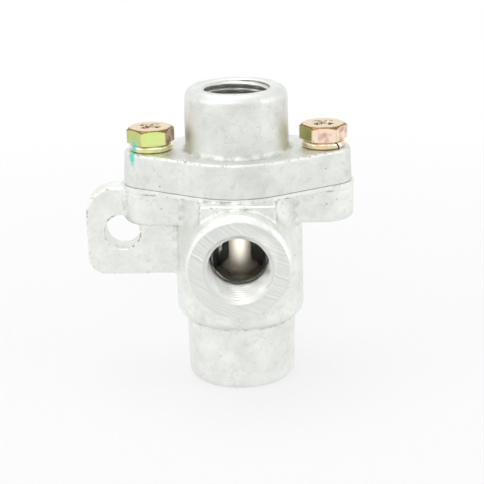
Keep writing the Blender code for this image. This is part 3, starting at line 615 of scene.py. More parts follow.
def joined(a, b, radius):
    """Union of two shapes with a round fillet in the corner between them."""
    corner = np.hypot(np.maximum(radius - a, 0), np.maximum(radius - b, 0))
    return np.maximum(radius, np.minimum(a, b)) - corner


def common(a, b, radius):
    """Where two shapes overlap, with the outer edge between them rounded."""
    corner = np.hypot(np.maximum(radius + a, 0), np.maximum(radius + b, 0))
    return np.minimum(-radius, np.maximum(a, b)) + corner


def flange_outline(x, y, middle_radius, end_radius):
    """Distance to the flange's outline: a round middle and two round ends, joined by tangents."""
    along, across = np.abs(x), np.abs(y)
    slope = (middle_radius - end_radius) / SCREW_X
    straight = math.sqrt(1 - slope * slope)
    side = along * straight - across * slope
    tangent = across * straight + along * slope - middle_radius
    beyond = np.hypot(along - SCREW_X, across) - end_radius
    inner = np.hypot(along, across) - middle_radius
    return np.where(side < 0, inner, np.where(side > SCREW_X * straight, beyond, tangent))


def rounded_plate(a, b, low, high, corner):
    """Distance to a rectangle with round corners, between two corners in the plane of a and b."""
    half_a, half_b = (high[0] - low[0]) / 2, (high[1] - low[1]) / 2
    off_a = np.abs(a - (low[0] + high[0]) / 2) - half_a + corner
    off_b = np.abs(b - (low[1] + high[1]) / 2) - half_b + corner
    outside = np.hypot(np.maximum(off_a, 0), np.maximum(off_b, 0))
    return outside + np.minimum(np.maximum(off_a, off_b), 0) - corner


print("fillet check: %.3f" % joined(0.5, 0.5, 1.0))

# %% [markdown]
# Tumbling leaves cast faces very slightly wavy, which is why their reflections never run dead
# straight. Ten slow sine waves in random directions, 0.035 mm high together, do the same.

# %% Waviness of the cast skin
WAVE_COUNT = 10
WAVE_HEIGHT_MM = 0.035
WAVE_SHORT_MM, WAVE_LONG_MM = 3.5, 11.0
random = np.random.default_rng(41)
wave_turns = random.normal(size=(WAVE_COUNT, 3))
wave_turns /= np.linalg.norm(wave_turns, axis=1)[:, None]
wave_turns *= 2 * math.pi / random.uniform(WAVE_SHORT_MM, WAVE_LONG_MM, (WAVE_COUNT, 1))
wave_starts = random.uniform(0, 2 * math.pi, WAVE_COUNT)


def waviness(x, y, z):
    """How far the cast skin lies off its true shape, in millimetres."""
    total = 0
    for (a, b, c), start in zip(wave_turns, wave_starts):
        total = total + np.sin(a * x + b * y + c * z + start)
    return total * WAVE_HEIGHT_MM / math.sqrt(WAVE_COUNT)


print("wave lengths", np.round(np.sort(2 * math.pi / np.linalg.norm(wave_turns, axis=1)), 1))

# %% [markdown]
# ## From distances to a mesh
# Blender has no distance functions of its own, so the surface is picked out of a grid of
# points. Each grid cell that the surface crosses gets one vertex, and each crossed grid edge
# gets one quad round it. The vertices are then slid along the slope of the function until they
# lie on the true surface, which removes the grid's steps.

# %% Meshing a distance function
CORNERS = np.array(list(itertools.product((0, 1), repeat=3)))
CELL_EDGES = [(p, q) for p in range(8) for q in range(p + 1, 8)
              if abs(CORNERS[p] - CORNERS[q]).sum() == 1]
SLOPE_STEP_MM = 0.01
SETTLE_STEPS = 4


def settle(shape, points):
    """Slides points along the slope of a distance function until they lie on its surface."""
    for _ in range(SETTLE_STEPS):
        value = shape(*points.T)
        slope = np.empty_like(points)
        for i in range(3):
            ahead, behind = points.copy(), points.copy()
            ahead[:, i] += SLOPE_STEP_MM
            behind[:, i] -= SLOPE_STEP_MM
            slope[:, i] = (shape(*ahead.T) - shape(*behind.T)) / (2 * SLOPE_STEP_MM)
        steep = np.maximum((slope ** 2).sum(1), 0.25)
        points = points - slope * (value / steep)[:, None]
    return points


def surface_of(shape, low, high, cell):
    """Vertices and quads of the surface where a distance function is zero."""
    low = np.array(low, float)
    lines = [np.arange(a, b + cell, cell) for a, b in zip(low, high)]
    field = shape(*np.meshgrid(*lines, indexing="ij", sparse=True))
    inside = field < 0
    count = np.array(field.shape)
    filled = sum(inside[tuple(slice(c, n - 1 + c) for c, n in zip(corner, count))].astype(np.int8)
                 for corner in CORNERS)
    where = np.argwhere((filled > 0) & (filled < 8))
    index = np.full(count - 1, -1)
    index[tuple(where.T)] = np.arange(len(where))
    values = np.stack([field[tuple((where + corner).T)] for corner in CORNERS], 1)
    total, hits = np.zeros((len(where), 3)), np.zeros(len(where))
    for p, q in CELL_EDGES:
        a, b = values[:, p], values[:, q]
        crossed = (a < 0) != (b < 0)
        share = np.where(crossed, a / np.where(crossed, a - b, 1), 0)
        total += crossed[:, None] * (CORNERS[p] + share[:, None] * (CORNERS[q] - CORNERS[p]))
        hits += crossed
    points = settle(shape, low + (where + total / hits[:, None]) * cell)
    quads = []
    for axis in range(3):
        u, v = np.eye(3, dtype=int)[[(axis + 1) % 3, (axis + 2) % 3]]
        ahead = np.take(inside, range(1, count[axis]), axis)
        behind = np.take(inside, range(count[axis] - 1), axis)
        edge = np.argwhere(ahead != behind)
        quad = np.stack([index[tuple((edge - step).T)] for step in (u + v, v, 0 * u, u)], 1)
        outward = inside[tuple(edge.T)]
        quad[~outward] = quad[~outward][:, ::-1]
        quads.append(quad)
    return points, np.concatenate(quads)


ball_points, ball_quads = surface_of(lambda x, y, z: np.sqrt(x * x + y * y + z * z) - 3,
                                     (-4,) * 3, (4,) * 3, 0.5)
radii = np.linalg.norm(ball_points, axis=1)
print("test ball: %d quads, radius %.3f to %.3f" % (len(ball_quads), radii.min(), radii.max()))

# %% [markdown]
# A mesh object gets its points in millimetres from the valve's axis, or from a screw's. Round
# pieces are skinned between rings of points, which is what turning or sweeping a section does.

# %% Mesh objects
SHARP_DEG = 32


def mesh_object(name, points, faces, finishes, centre=(0, 0)):
    """Links an object. Its points are in millimetres from the valve's axis or from a centre."""
    mesh = bpy.data.meshes.new(name)
    place = np.asarray(points) + np.array([centre[0], centre[1], 0])
    place = place * MM + np.array(AXIS)
    mesh.from_pydata(place.tolist(), [], [list(map(int, face)) for face in faces])
    for finish in finishes:
        mesh.materials.append(finish)
    made = bpy.data.objects.new(name, mesh)
    bpy.context.scene.collection.objects.link(made)
    return made


def skin(rings, closed_ends=False):
    """Points and faces of a surface through equal rings, capped, or joined from last to first."""
    rings = np.asarray(rings, float)
    rows, count = rings.shape[:2]
    pairs = [(i, (i + 1) % rows) for i in range(rows if closed_ends else rows - 1)]
    faces = [(a * count + j, a * count + (j + 1) % count, b * count + (j + 1) % count, b * count + j)
             for a, b in pairs for j in range(count)]
    if not closed_ends:
        faces.append(list(range(count))[::-1])
        faces.append([(rows - 1) * count + j for j in range(count)])
    return rings.reshape(-1, 3), faces


def smooth(obj, angle_deg=SHARP_DEG):
    obj.data.shade_smooth()
    obj.data.set_sharp_from_angle(angle=math.radians(angle_deg))
    return obj


print("sharp above %d degrees" % SHARP_DEG)

# %% [markdown]
# The slope of a distance function turns fast at an outer edge and backwards in an inner corner.
# Its change of slope therefore says where edges get knocked and where corners get painted shade.

# %% How sharply a casting bends
BEND_SPAN_MM = 0.45


def mark_bends(obj, shape):
    """Stores how sharply a shape bends at each vertex: above zero on edges, below in corners."""
    places = np.empty(len(obj.data.vertices) * 3)
    obj.data.vertices.foreach_get("co", places)
    points = (places.reshape(-1, 3) - np.array(AXIS)) / MM
    total = -6 * shape(*points.T)
    for i in range(3):
        for side in (-BEND_SPAN_MM, BEND_SPAN_MM):
            moved = points.copy()
            moved[:, i] += side
            total = total + shape(*moved.T)
    bends = total / BEND_SPAN_MM ** 2
    layer = obj.data.attributes.new("bend", "FLOAT", "POINT")
    layer.data.foreach_set("value", bends.astype(np.float32))
    return bends


print("bends measured over %.2f mm" % BEND_SPAN_MM)

# %% [markdown]
# ## The body casting
# The die makes the barrel, the lower port's boss, the flange with its two screw lugs, the flat
# saddle over the delivery port, that port's boss and the mounting ear in one shot. Each form
# is one distance function, and each pair is joined with the radius that the die has there.

# %% Body: sizes
LOWER_BOSS_HEIGHT = 15.8
LOWER_BOSS_RADIUS, LOWER_BOSS_DRAFT, LOWER_RIM_ROUND = 13.0, 0.25, 2.0
BARREL_RADIUS, BARREL_DRAFT, BARREL_FOOT_ROUND = 15.5, 0.4, 3.1
LIP_THICKNESS, LUG_RADIUS, LUG_DEPTH, LUG_ROUND = 1.1, 7.15, 9.3, 1.4
SADDLE_HALF_WIDTH, SADDLE_STEP, SADDLE_TOP_DROP = 8.65, 2.2, 0.8
PORT_BOSS_RADIUS, PORT_BOSS_DRAFT, PORT_BOSS_RISE, PORT_RIM_ROUND = 12.25, 0.3, 0.4, 2.0
PORT_STOCK, PORT_TILT = 0.44, 0.033
EAR_THICKNESS, EAR_BOTTOM, EAR_TOP, EAR_LOW_CORNER, EAR_TOP_CORNER = 6.4, 26.9, 48.7, 4.4, 6.7
EAR_HOLE_X, EAR_HOLE_HEIGHT, EAR_HOLE_RADIUS = -28.1, 37.6, 4.25
MACHINING_STOCK, RIM_STOCK = 0.8, 0.08
BOSS_FILLET, PORT_FILLET, SADDLE_FILLET = 0.7, 1.6, 0.6
EAR_FILLET, LUG_FILLET, LIP_FILLET = 1.2, 0.8, 0.35
SADDLE_SIDE_ROUND, SADDLE_TOP_ROUND, BURIED_ROUND = 0.35, 0.2, 0.2
EAR_SETBACK, EAR_EDGE_ROUND, HOLE_EDGE_ROUND, LIP_ROUND = 0.2, 0.55, 0.35, 0.3
BODY_CELL = 0.4


def body_casting(x, y, z):
    """Distance to the raw casting of the body, with stock left where it is faced later."""
    around = np.hypot(x, y)
    rise = (z - LOWER_BOSS_HEIGHT) / (BODY_TOP - LOWER_BOSS_HEIGHT)
    barrel = common(around - BARREL_RADIUS + BARREL_DRAFT * rise, LOWER_BOSS_HEIGHT - z, BARREL_FOOT_ROUND)
    lower = common(around - LOWER_BOSS_RADIUS - LOWER_BOSS_DRAFT * z / LOWER_BOSS_HEIGHT, -z - RIM_STOCK,
                   LOWER_RIM_ROUND)
    shape = joined(barrel, lower, BOSS_FILLET)

    depth = (y - PORT_FACE) / -PORT_FACE
    boss_height = PORT_HEIGHT + PORT_BOSS_RISE
    port = np.hypot(x, z - boss_height) - PORT_BOSS_RADIUS - PORT_BOSS_DRAFT * depth
    raw_face = PORT_FACE - PORT_STOCK + PORT_TILT * (z - boss_height)
    port = common(common(port, raw_face - y, PORT_RIM_ROUND), y, BURIED_ROUND)
    saddle = common(np.abs(x) - SADDLE_HALF_WIDTH, -FLANGE_HALF_DEPTH - SADDLE_STEP - y, SADDLE_SIDE_ROUND)
    saddle = common(common(saddle, PORT_HEIGHT - z, BURIED_ROUND), y, BURIED_ROUND)
    saddle = common(saddle, z - BODY_TOP + SADDLE_TOP_DROP, SADDLE_TOP_ROUND)
    shape = joined(shape, port, PORT_FILLET)
    shape = joined(shape, saddle, SADDLE_FILLET)

    corner = np.where(z > EAR_HOLE_HEIGHT, EAR_TOP_CORNER, EAR_LOW_CORNER)
    ear = rounded_plate(x, z, (EAR_END + EAR_SETBACK, EAR_BOTTOM), (-EAR_END, EAR_TOP), corner)
    ear = common(common(ear, x, BURIED_ROUND), np.abs(y) - EAR_THICKNESS / 2, EAR_EDGE_ROUND)
    hole = np.hypot(x - EAR_HOLE_X, z - EAR_HOLE_HEIGHT) - EAR_HOLE_RADIUS
    ear = common(ear, -hole, HOLE_EDGE_ROUND)
    shape = joined(shape, ear, EAR_FILLET)

    row = np.hypot(np.maximum(np.abs(x) - SCREW_X, 0), y) - LUG_RADIUS
    lugs = common(row, BODY_TOP - LUG_DEPTH - z, LUG_ROUND)
    shape = joined(shape, lugs, LUG_FILLET)
    outline = flange_outline(x, y, FLANGE_HALF_DEPTH, FLANGE_END_RADIUS)
    shape = joined(shape, common(outline, BODY_TOP - LIP_THICKNESS - z, LIP_ROUND), LIP_FILLET)
    shape = common(shape, z - BODY_TOP - MACHINING_STOCK, RAW_ROUND)
    return shape + waviness(x, y, z)


grid_low = (EAR_END - GRID_MARGIN, PORT_FACE - 2 * GRID_MARGIN, -GRID_MARGIN)
grid_high = (BODY_HIGH[0] + GRID_MARGIN, BODY_HIGH[1] + GRID_MARGIN, BODY_TOP + 2 * GRID_MARGIN)
points, quads = surface_of(body_casting, grid_low, grid_high, BODY_CELL)
body = mesh_object("valve_body", points, quads, [cast, faced, bored])
print("raw body casting: %d quads" % len(quads))

# %% [markdown]
# ## The cover casting
# The cover repeats the flange's outline a little smaller, with draft and a soft top edge, and
# carries the upper port's boss. The boss is joined to the plate with a fillet, which catches
# the light as a bright band.

# %% Cover: sizes
COVER_SETBACK, COVER_DRAFT, COVER_EDGE_ROUND = 0.45, 0.35, 0.5
TOP_BOSS_RADIUS, TOP_BOSS_DRAFT, TOP_BOSS_FILLET, TOP_RIM_ROUND = 12.1, 0.3, 1.2, 2.3
JOINT_GAP = 0.06
COVER_FACE = BODY_TOP + JOINT_GAP
COVER_CELL, COVER_WAVE_SHIFT = 0.33, 40


def cover_casting(x, y, z):
    """Distance to the raw casting of the cover, with stock left on its joint face."""
    rise = (z - COVER_FACE) / (COVER_PLATE_TOP - COVER_FACE)
    plate = flange_outline(x, y, FLANGE_HALF_DEPTH - COVER_SETBACK, FLANGE_END_RADIUS - COVER_SETBACK)
    plate = common(plate + COVER_DRAFT * rise, z - COVER_PLATE_TOP, COVER_EDGE_ROUND)
    sink = (TOP_FACE - z) / (TOP_FACE - COVER_PLATE_TOP)
    boss = common(np.hypot(x, y) - TOP_BOSS_RADIUS - TOP_BOSS_DRAFT * sink, z - TOP_FACE - RIM_STOCK,
                  TOP_RIM_ROUND)
    shape = joined(plate, boss, TOP_BOSS_FILLET)
    shape = common(shape, COVER_FACE - MACHINING_STOCK - z, RAW_ROUND)
    return shape + waviness(x + COVER_WAVE_SHIFT, y, z)


grid_low = (COVER_LOW[0] - GRID_MARGIN, COVER_LOW[1] - GRID_MARGIN, COVER_FACE - 2 * GRID_MARGIN)
grid_high = (COVER_HIGH[0] + GRID_MARGIN, COVER_HIGH[1] + GRID_MARGIN, TOP_FACE + GRID_MARGIN)
points, quads = surface_of(cover_casting, grid_low, grid_high, COVER_CELL)
cover = mesh_object("valve_cover", points, quads, [cast, faced, bored])
print("raw cover casting: %d quads" % len(quads))

# %% [markdown]
# ## Machining
# The castings are then machined, and the model is made in the same order: each cutter is a
# solid with the shape that the tool sweeps, and its faces carry the finish that the tool
# leaves. The boolean passes that finish to the new surface.

# %% Cutters
CAST_FINISH, FACED_FINISH, BORED_FINISH = 0, 1, 2
ROUND_STEPS = 128
OVERCUT, FACING_DEPTH, DRILL_OVERCUT, PASSAGE_LENGTH = 1.0, 5, 2, 2


def turned_rings(profile, steps=ROUND_STEPS):
    """Rings of a shape turned about Z from a profile of (radius, height), lowest ring first."""
    angle = np.arange(steps) * 2 * math.pi / steps
    return [np.stack([r * np.cos(angle), r * np.sin(angle), np.full(steps, float(z))], 1)
            for r, z in profile]


def cutter(name, rings, finish, place=None):
    """A solid tool path. place moves its points from the tool's axis to the valve's."""
    points, faces = skin(rings)
    if place:
        points = place(points)
    made = mesh_object(name, points, faces, [cast, faced, bored])
    made.data.polygons.foreach_set("material_index", [finish] * len(made.data.polygons))
    return made


def block(name, low, high, finish):
    """A rectangular sweep of a face cutter, between two corners."""
    corners = [[(low[0], low[1]), (high[0], low[1]), (high[0], high[1]), (low[0], high[1])]] * 2
    rings = [[(x, y, z) for x, y in outline] for outline, z in zip(corners, (low[2], high[2]))]
    return cutter(name, rings, finish)


def machine(target, cutters):
    """Takes each cutter away from a casting, then removes the cutters."""
    for tool in cutters:
        pass_over = target.modifiers.new(tool.name, "BOOLEAN")
        pass_over.operation = "DIFFERENCE"
        pass_over.solver = "MANIFOLD"
        pass_over.object = tool
    bpy.context.view_layer.update()
    done = bpy.data.meshes.new_from_object(target.evaluated_get(bpy.context.evaluated_depsgraph_get()))
    target.modifiers.clear()
    old, target.data = target.data, done
    done.name = target.name
    bpy.data.meshes.remove(old)
    for tool in cutters:
        bpy.data.objects.remove(tool)
    return target


print("cutters leave finishes", FACED_FINISH, "and", BORED_FINISH)

# %% [markdown]
# A tapped hole's wall is a ridge that climbs round the hole. Its radius depends only on the
# angle and the depth, so one formula gives the whole cutter: the taper, the ridge of a 55 degree
# pipe thread with 19 turns to the inch, and the chamfer at the mouth, whichever is widest.

# %% Threaded ports
THREAD_PITCH = 25.4 / 19
THREAD_DEPTH = 0.86
THREAD_TAPER = 1 / 32
END_CREST_RADIUS, FRONT_CREST_RADIUS = 7.55, 7.2
THREAD_RUNOUT = 2.0
RIDGE_STEEPNESS, RIDGE_FLAT = 1.3, 0.15
ROWS_PER_TURN = 12
FRONT_THREAD_DEPTH, END_THREAD_DEPTH = 10.7, 14.0
FRONT_CHAMFER_RADIUS, END_CHAMFER_RADIUS, CHAMFER_STEEPNESS = 8.3, 8.7, 1.8
FRONT_PASSAGE_RADIUS, SEAT_BORE_RADIUS = 7.5, 6.0


def port_rings(crest_radius, chamfer_radius, thread_depth, passage_radius, passage_end):
    """Rings of a threaded port's cutter: its mouth at z = 0, its passage below."""
    rows = int(round((thread_depth + OVERCUT) / THREAD_PITCH * ROWS_PER_TURN))
    heights = np.linspace(-thread_depth, OVERCUT, rows)
    angle = np.arange(ROUND_STEPS) * 2 * math.pi / ROUND_STEPS
    z, a = np.meshgrid(heights, angle, indexing="ij")
    phase = (z / THREAD_PITCH - a / (2 * math.pi)) % 1
    ridge = np.clip(RIDGE_STEEPNESS * (1 - np.abs(2 * phase - 1)) - RIDGE_FLAT, 0, 1)
    fade = np.clip((z + thread_depth) / THREAD_RUNOUT, 0, 1)
    radius = crest_radius + np.minimum(z, 0) * THREAD_TAPER + THREAD_DEPTH * ridge * fade
    radius = np.maximum(radius, chamfer_radius + CHAMFER_STEEPNESS * z)
    threads = np.stack([radius * np.cos(a), radius * np.sin(a), z], 2)
    passage = turned_rings([(passage_radius, passage_end), (passage_radius, -thread_depth - 0.02)])
    return np.concatenate([passage, threads])


def face_front(points):
    """Lays a tool that stands on Z down, so that its mouth is at the delivery port's face."""
    return np.stack([points[:, 0], PORT_FACE - points[:, 2], PORT_HEIGHT + points[:, 1]], 1)


def at_top(points):
    return points + np.array([0, 0, TOP_FACE])


def at_bottom(points):
    return points * np.array([1, -1, -1])


print("%.2f mm pitch, %.1f turns in the end ports" % (THREAD_PITCH, END_THREAD_DEPTH / THREAD_PITCH))

# %% [markdown]
# Painted shade goes into the roots of a thread, which are known only once it is cut. They lie
# further from the port's axis than the crests, so the radius of each vertex says how deep in a
# root it is. The passage behind the delivery port's thread gets painted shade as well.

# %% Painting shade into the thread roots and the passage
PASSAGE_SHADE, FRONT_THREAD_SHADE, END_THREAD_SHADE = 0.75, 0.2, 0.6
PASSAGE_LEAD_MM, PASSAGE_FADE_MM, PASSAGE_BACK_MM, PASSAGE_REACH_MM = 0.5, 0.6, 3.0, 0.6
MOUTH_MM, FRONT_ROOT_LIMIT = 0.4, 8.1


def mark_thread_shade(obj):
    """Stores painted shade: how deep in a thread's root or in a port's passage each vertex lies."""
    places = np.empty(len(obj.data.vertices) * 3)
    obj.data.vertices.foreach_get("co", places)
    x, y, z = ((places.reshape(-1, 3) - np.array(AXIS)) / MM).T
    front = np.hypot(x, z - PORT_HEIGHT)
    inward = y - PORT_FACE
    in_passage = front < FRONT_CREST_RADIUS + PASSAGE_REACH_MM
    deep = np.clip((inward - FRONT_THREAD_DEPTH + PASSAGE_LEAD_MM) / PASSAGE_FADE_MM, 0, 1) * in_passage
    cut = (front - FRONT_CREST_RADIUS + inward * THREAD_TAPER) / THREAD_DEPTH
    cut = np.clip(cut, 0, 1) * (front < FRONT_ROOT_LIMIT)
    root = np.maximum(PASSAGE_SHADE * deep, FRONT_THREAD_SHADE * cut)
    root = np.where(inward < FRONT_THREAD_DEPTH + PASSAGE_BACK_MM, root, 0)
    around = np.hypot(x, y)
    for sunk in (TOP_FACE - z, z):
        cut = (around - END_CREST_RADIUS + sunk * THREAD_TAPER) / THREAD_DEPTH
        threaded = (sunk > MOUTH_MM) & (sunk < END_THREAD_DEPTH)
        threaded &= around < END_CREST_RADIUS + THREAD_DEPTH
        root = np.where(threaded, END_THREAD_SHADE * np.clip(cut, 0, 1), root)
    layer = obj.data.attributes.new("root", "FLOAT", "POINT")
    layer.data.foreach_set("value", root.astype(np.float32))


print("thread_shades: passage %.2f, delivery thread %.2f, end threads %.2f"
      % (PASSAGE_SHADE, FRONT_THREAD_SHADE, END_THREAD_SHADE))

# %% [markdown]
# The body is faced at its joint, its delivery port and its lower rim, then bored for the
# chamber and its seat, threaded, grooved for the sealing ring and drilled for the screws.

# %% Machining the body
CHAMBER_RADIUS, CHAMBER_FLOOR, SEAT_HEIGHT = 11.7, 18.6, 1.8
SEAT_OUTER_RADIUS, SEAT_EDGE = 7.4, 0.35
LOWER_SEAT = CHAMBER_FLOOR + SEAT_HEIGHT
SCREW_HOLE_RADIUS, SCREW_HOLE_STEPS, HOLE_FLOOR_GAP = 3.35, 48, 0.8
FAR = 60.0


def screw_holes(low, high):
    """Two drills for the cover screws, between two heights."""
    wall = [(SCREW_HOLE_RADIUS, low), (SCREW_HOLE_RADIUS, high)]
    drill = np.array(turned_rings(wall, SCREW_HOLE_STEPS))
    return [cutter("screw_hole", drill + np.array([x, 0, 0]), BORED_FINISH)
            for x in (-SCREW_X, SCREW_X)]


chamber = [(SEAT_BORE_RADIUS, END_THREAD_DEPTH - 1), (SEAT_BORE_RADIUS, LOWER_SEAT),
           (SEAT_OUTER_RADIUS - SEAT_EDGE, LOWER_SEAT), (SEAT_OUTER_RADIUS, LOWER_SEAT - SEAT_EDGE),
           (SEAT_OUTER_RADIUS, CHAMBER_FLOOR), (CHAMBER_RADIUS, CHAMBER_FLOOR),
           (CHAMBER_RADIUS, BODY_TOP + OVERCUT)]
seal_cord = SEAL_HIGH[2] - SEAL_LOW[2]
groove_inner, groove_outer = SEAL_HIGH[0] - seal_cord - REST_GAP, SEAL_HIGH[0] + REST_GAP
groove_floor = SEAL_LOW[2] - REST_GAP
groove = [(groove_outer, groove_floor), (groove_outer, BODY_TOP + OVERCUT),
          (groove_inner, BODY_TOP + OVERCUT), (groove_inner, groove_floor)]
groove_points, groove_faces = skin(turned_rings(groove), closed_ends=True)
groove_cut = mesh_object("groove_cut", groove_points, groove_faces, [cast, faced, bored])
groove_cut.data.polygons.foreach_set("material_index", [FACED_FINISH] * len(groove_cut.data.polygons))

machine(body, [
    block("joint_facing", (-FAR, -FAR, BODY_TOP), (FAR, FAR, BODY_TOP + FACING_DEPTH), FACED_FINISH),
    block("port_facing", (-FAR, PORT_FACE - FACING_DEPTH, -FAR), (FAR, PORT_FACE, FAR), FACED_FINISH),
    block("foot_facing", (-FAR, -FAR, -FACING_DEPTH), (FAR, FAR, 0), FACED_FINISH),
    cutter("chamber_bore", turned_rings(chamber), CAST_FINISH),
    cutter("delivery_port", port_rings(FRONT_CREST_RADIUS, FRONT_CHAMFER_RADIUS, FRONT_THREAD_DEPTH,
                                       FRONT_PASSAGE_RADIUS, PORT_FACE + CHAMBER_RADIUS / 2),
           BORED_FINISH, face_front),
    cutter("lower_port", port_rings(END_CREST_RADIUS, END_CHAMFER_RADIUS, END_THREAD_DEPTH,
                                    SEAT_BORE_RADIUS, -END_THREAD_DEPTH - PASSAGE_LENGTH),
           BORED_FINISH, at_bottom),
    groove_cut, *screw_holes(SCREW_LOW[2] - HOLE_FLOOR_GAP, BODY_TOP + DRILL_OVERCUT)])
mark_thread_shade(body)
bends = mark_bends(body, body_casting)
print("machined body: %d faces, bends %.1f to %.1f"
      % (len(body.data.polygons), bends.min(), bends.max()))

# %% [markdown]
# The cover is faced at its joint and at the top, then bored and threaded from both sides. Its
# recess ends in a seat that mirrors the body's.

# %% Machining the cover
RECESS_HEIGHT = 3.4
RECESS_CEILING = COVER_LOW[2] + RECESS_HEIGHT
UPPER_SEAT = RECESS_CEILING - SEAT_HEIGHT
recess = [(CHAMBER_RADIUS, COVER_FACE - OVERCUT), (CHAMBER_RADIUS, RECESS_CEILING),
          (SEAT_OUTER_RADIUS, RECESS_CEILING), (SEAT_OUTER_RADIUS, UPPER_SEAT + SEAT_EDGE),
          (SEAT_OUTER_RADIUS - SEAT_EDGE, UPPER_SEAT), (SEAT_BORE_RADIUS, UPPER_SEAT),
          (SEAT_BORE_RADIUS, TOP_FACE - END_THREAD_DEPTH + 1)]
machine(cover, [
    block("joint_facing", (-FAR, -FAR, COVER_FACE - FACING_DEPTH), (FAR, FAR, COVER_FACE), FACED_FINISH),
    block("top_facing", (-FAR, -FAR, TOP_FACE), (FAR, FAR, TOP_FACE + FACING_DEPTH), CAST_FINISH),
    cutter("upper_port", port_rings(END_CREST_RADIUS, END_CHAMFER_RADIUS, END_THREAD_DEPTH,
                                    SEAT_BORE_RADIUS, -END_THREAD_DEPTH - PASSAGE_LENGTH),
           BORED_FINISH, at_top),
    cutter("recess_bore", turned_rings(recess), BORED_FINISH),
    *screw_holes(COVER_FACE - DRILL_OVERCUT, COVER_PLATE_TOP + DRILL_OVERCUT)])
mark_thread_shade(cover)
bends = mark_bends(cover, cover_casting)
print("machined cover: %d faces, bends %.1f to %.1f"
      % (len(cover.data.polygons), bends.min(), bends.max()))

# %% [markdown]
# ## Cap screws
# The screws are cold-headed: a hexagon ten millimetres across its flats, a cone that takes the
# corners off, and a cross recess. Plating and tumbling leave its edges soft, so the head is a
# distance function too, on a finer grid. The shank is skinned between rings like a tap, with
# its thread as a ridge, and joined on.

# %% Screw heads
HEAD_FLATS, HEAD_HEIGHT, HEAD_FACE = 10.0, 4.0, 0.3
HEAD_EDGE_ROUND, CONE_SETBACK, CONE_DEG = 0.22, 0.25, 30
FOOT_ROUND, FACE_SETBACK, FACE_ROUND, FACE_FILLET = 0.12, 0.2, 0.1, 0.05
RECESS_ARM, RECESS_WIDTH, RECESS_DEPTH = 2.7, 1.6, 1.9
ARM_TAPER, WIDTH_TAPER = 0.6, 0.35
RECESS_EDGE_ROUND, RECESS_FILLET, RECESS_FLOOR_ROUND, RECESS_LIP_ROUND = 0.15, 0.35, 0.2, 0.12
HEAD_TOP = SCREW_HIGH[2]
HEAD_LOW = HEAD_TOP - HEAD_HEIGHT
HEAD_CELL = 0.13
LEFT_TURN_DEG, RIGHT_TURN_DEG = 12.0, 0.0


def screw_head(turn_deg):
    """Distance to a screw head about its own axis, turned by some degrees."""
    turn = math.radians(turn_deg)

    def shape(x, y, z):
        around = np.hypot(x, y)
        u = x * math.cos(turn) + y * math.sin(turn)
        v = y * math.cos(turn) - x * math.sin(turn)
        head = z - HEAD_TOP
        for degrees in (30, 90, 150):
            side = np.abs(u * math.cos(math.radians(degrees)) + v * math.sin(math.radians(degrees)))
            head = common(head, side - HEAD_FLATS / 2, HEAD_EDGE_ROUND)
        slope = math.radians(CONE_DEG)
        cone = z - HEAD_TOP + (around - HEAD_FLATS / 2 + CONE_SETBACK) * math.tan(slope)
        head = common(head, cone * math.cos(slope), HEAD_EDGE_ROUND)
        head = common(head, HEAD_LOW + HEAD_FACE - z, FOOT_ROUND)
        face = common(around - HEAD_FLATS / 2 + FACE_SETBACK, HEAD_LOW - z, FACE_ROUND)
        head = joined(head, common(face, z - HEAD_TOP + 1, FACE_ROUND), FACE_FILLET)
        sink = np.clip((HEAD_TOP - z) / RECESS_DEPTH, -0.3, 1.2)
        a, b = (u + v) / math.sqrt(2), (u - v) / math.sqrt(2)
        length = RECESS_ARM * (1 - ARM_TAPER * sink)
        half = RECESS_WIDTH / 2 * (1 - WIDTH_TAPER * sink)
        cross = joined(common(np.abs(a) - length, np.abs(b) - half, RECESS_EDGE_ROUND),
                       common(np.abs(b) - length, np.abs(a) - half, RECESS_EDGE_ROUND), RECESS_FILLET)
        cross = common(cross, HEAD_TOP - RECESS_DEPTH - z, RECESS_FLOOR_ROUND)
        return common(head, -cross, RECESS_LIP_ROUND)

    return shape


def shank_rings():
    """An M6 thread with its ridge, from the tip up into the head."""
    rows, steps, pitch, crest, ridge_depth = 150, 48, 1.0, 2.98, 0.55
    into_head, tip_cut, steepness, flat = 0.8, 0.6, 1.4, 0.2
    heights = np.linspace(SCREW_LOW[2], HEAD_LOW + into_head, rows)
    angle = np.arange(steps) * 2 * math.pi / steps
    z, a = np.meshgrid(heights, angle, indexing="ij")
    ridge = np.abs(2 * ((z / pitch - a / (2 * math.pi)) % 1) - 1)
    radius = crest - ridge_depth * np.clip(steepness * ridge - flat, 0, 1)
    radius = np.minimum(radius, crest - tip_cut + (z - SCREW_LOW[2]))
    return np.stack([radius * np.cos(a), radius * np.sin(a), z], 2)


print("heads from %.1f to %.1f mm" % (HEAD_LOW, HEAD_TOP))

# %% [markdown]
# The film on a screw changes from flat to flat, so each face gets its film number from the way
# it faces. The cone keeps a thicker, browner film. The cross recess is painted dark brown as
# shade, and the wall of the recess that faces the viewer gets a painted white highlight.

# %% Marking the plating, with painted shade and a painted highlight in the recess
EDGE_FILM, CONE_FILM, RECESS_SHADE_FILM, RECESS_PAINTED_HIGHLIGHT = 0.58, 1.0, 0.92, 0.6
FLAT_SPAN_DEG, CONE_TILT, TOP_TILT, RECESS_REACH = 6, 0.25, 0.95, 3.4


def face_values(mesh, name):
    """A normal or a centre of each face, as rows of x, y and z."""
    values = np.empty(len(mesh.polygons) * 3)
    mesh.polygons.foreach_get(name, values)
    return values.reshape(-1, 3)


def mark_faces(mesh, name, values):
    """Stores a number for each face under a name that the finish reads."""
    layer = mesh.attributes.new(name, "FLOAT", "FACE")
    layer.data.foreach_set("value", np.asarray(values, np.float32))


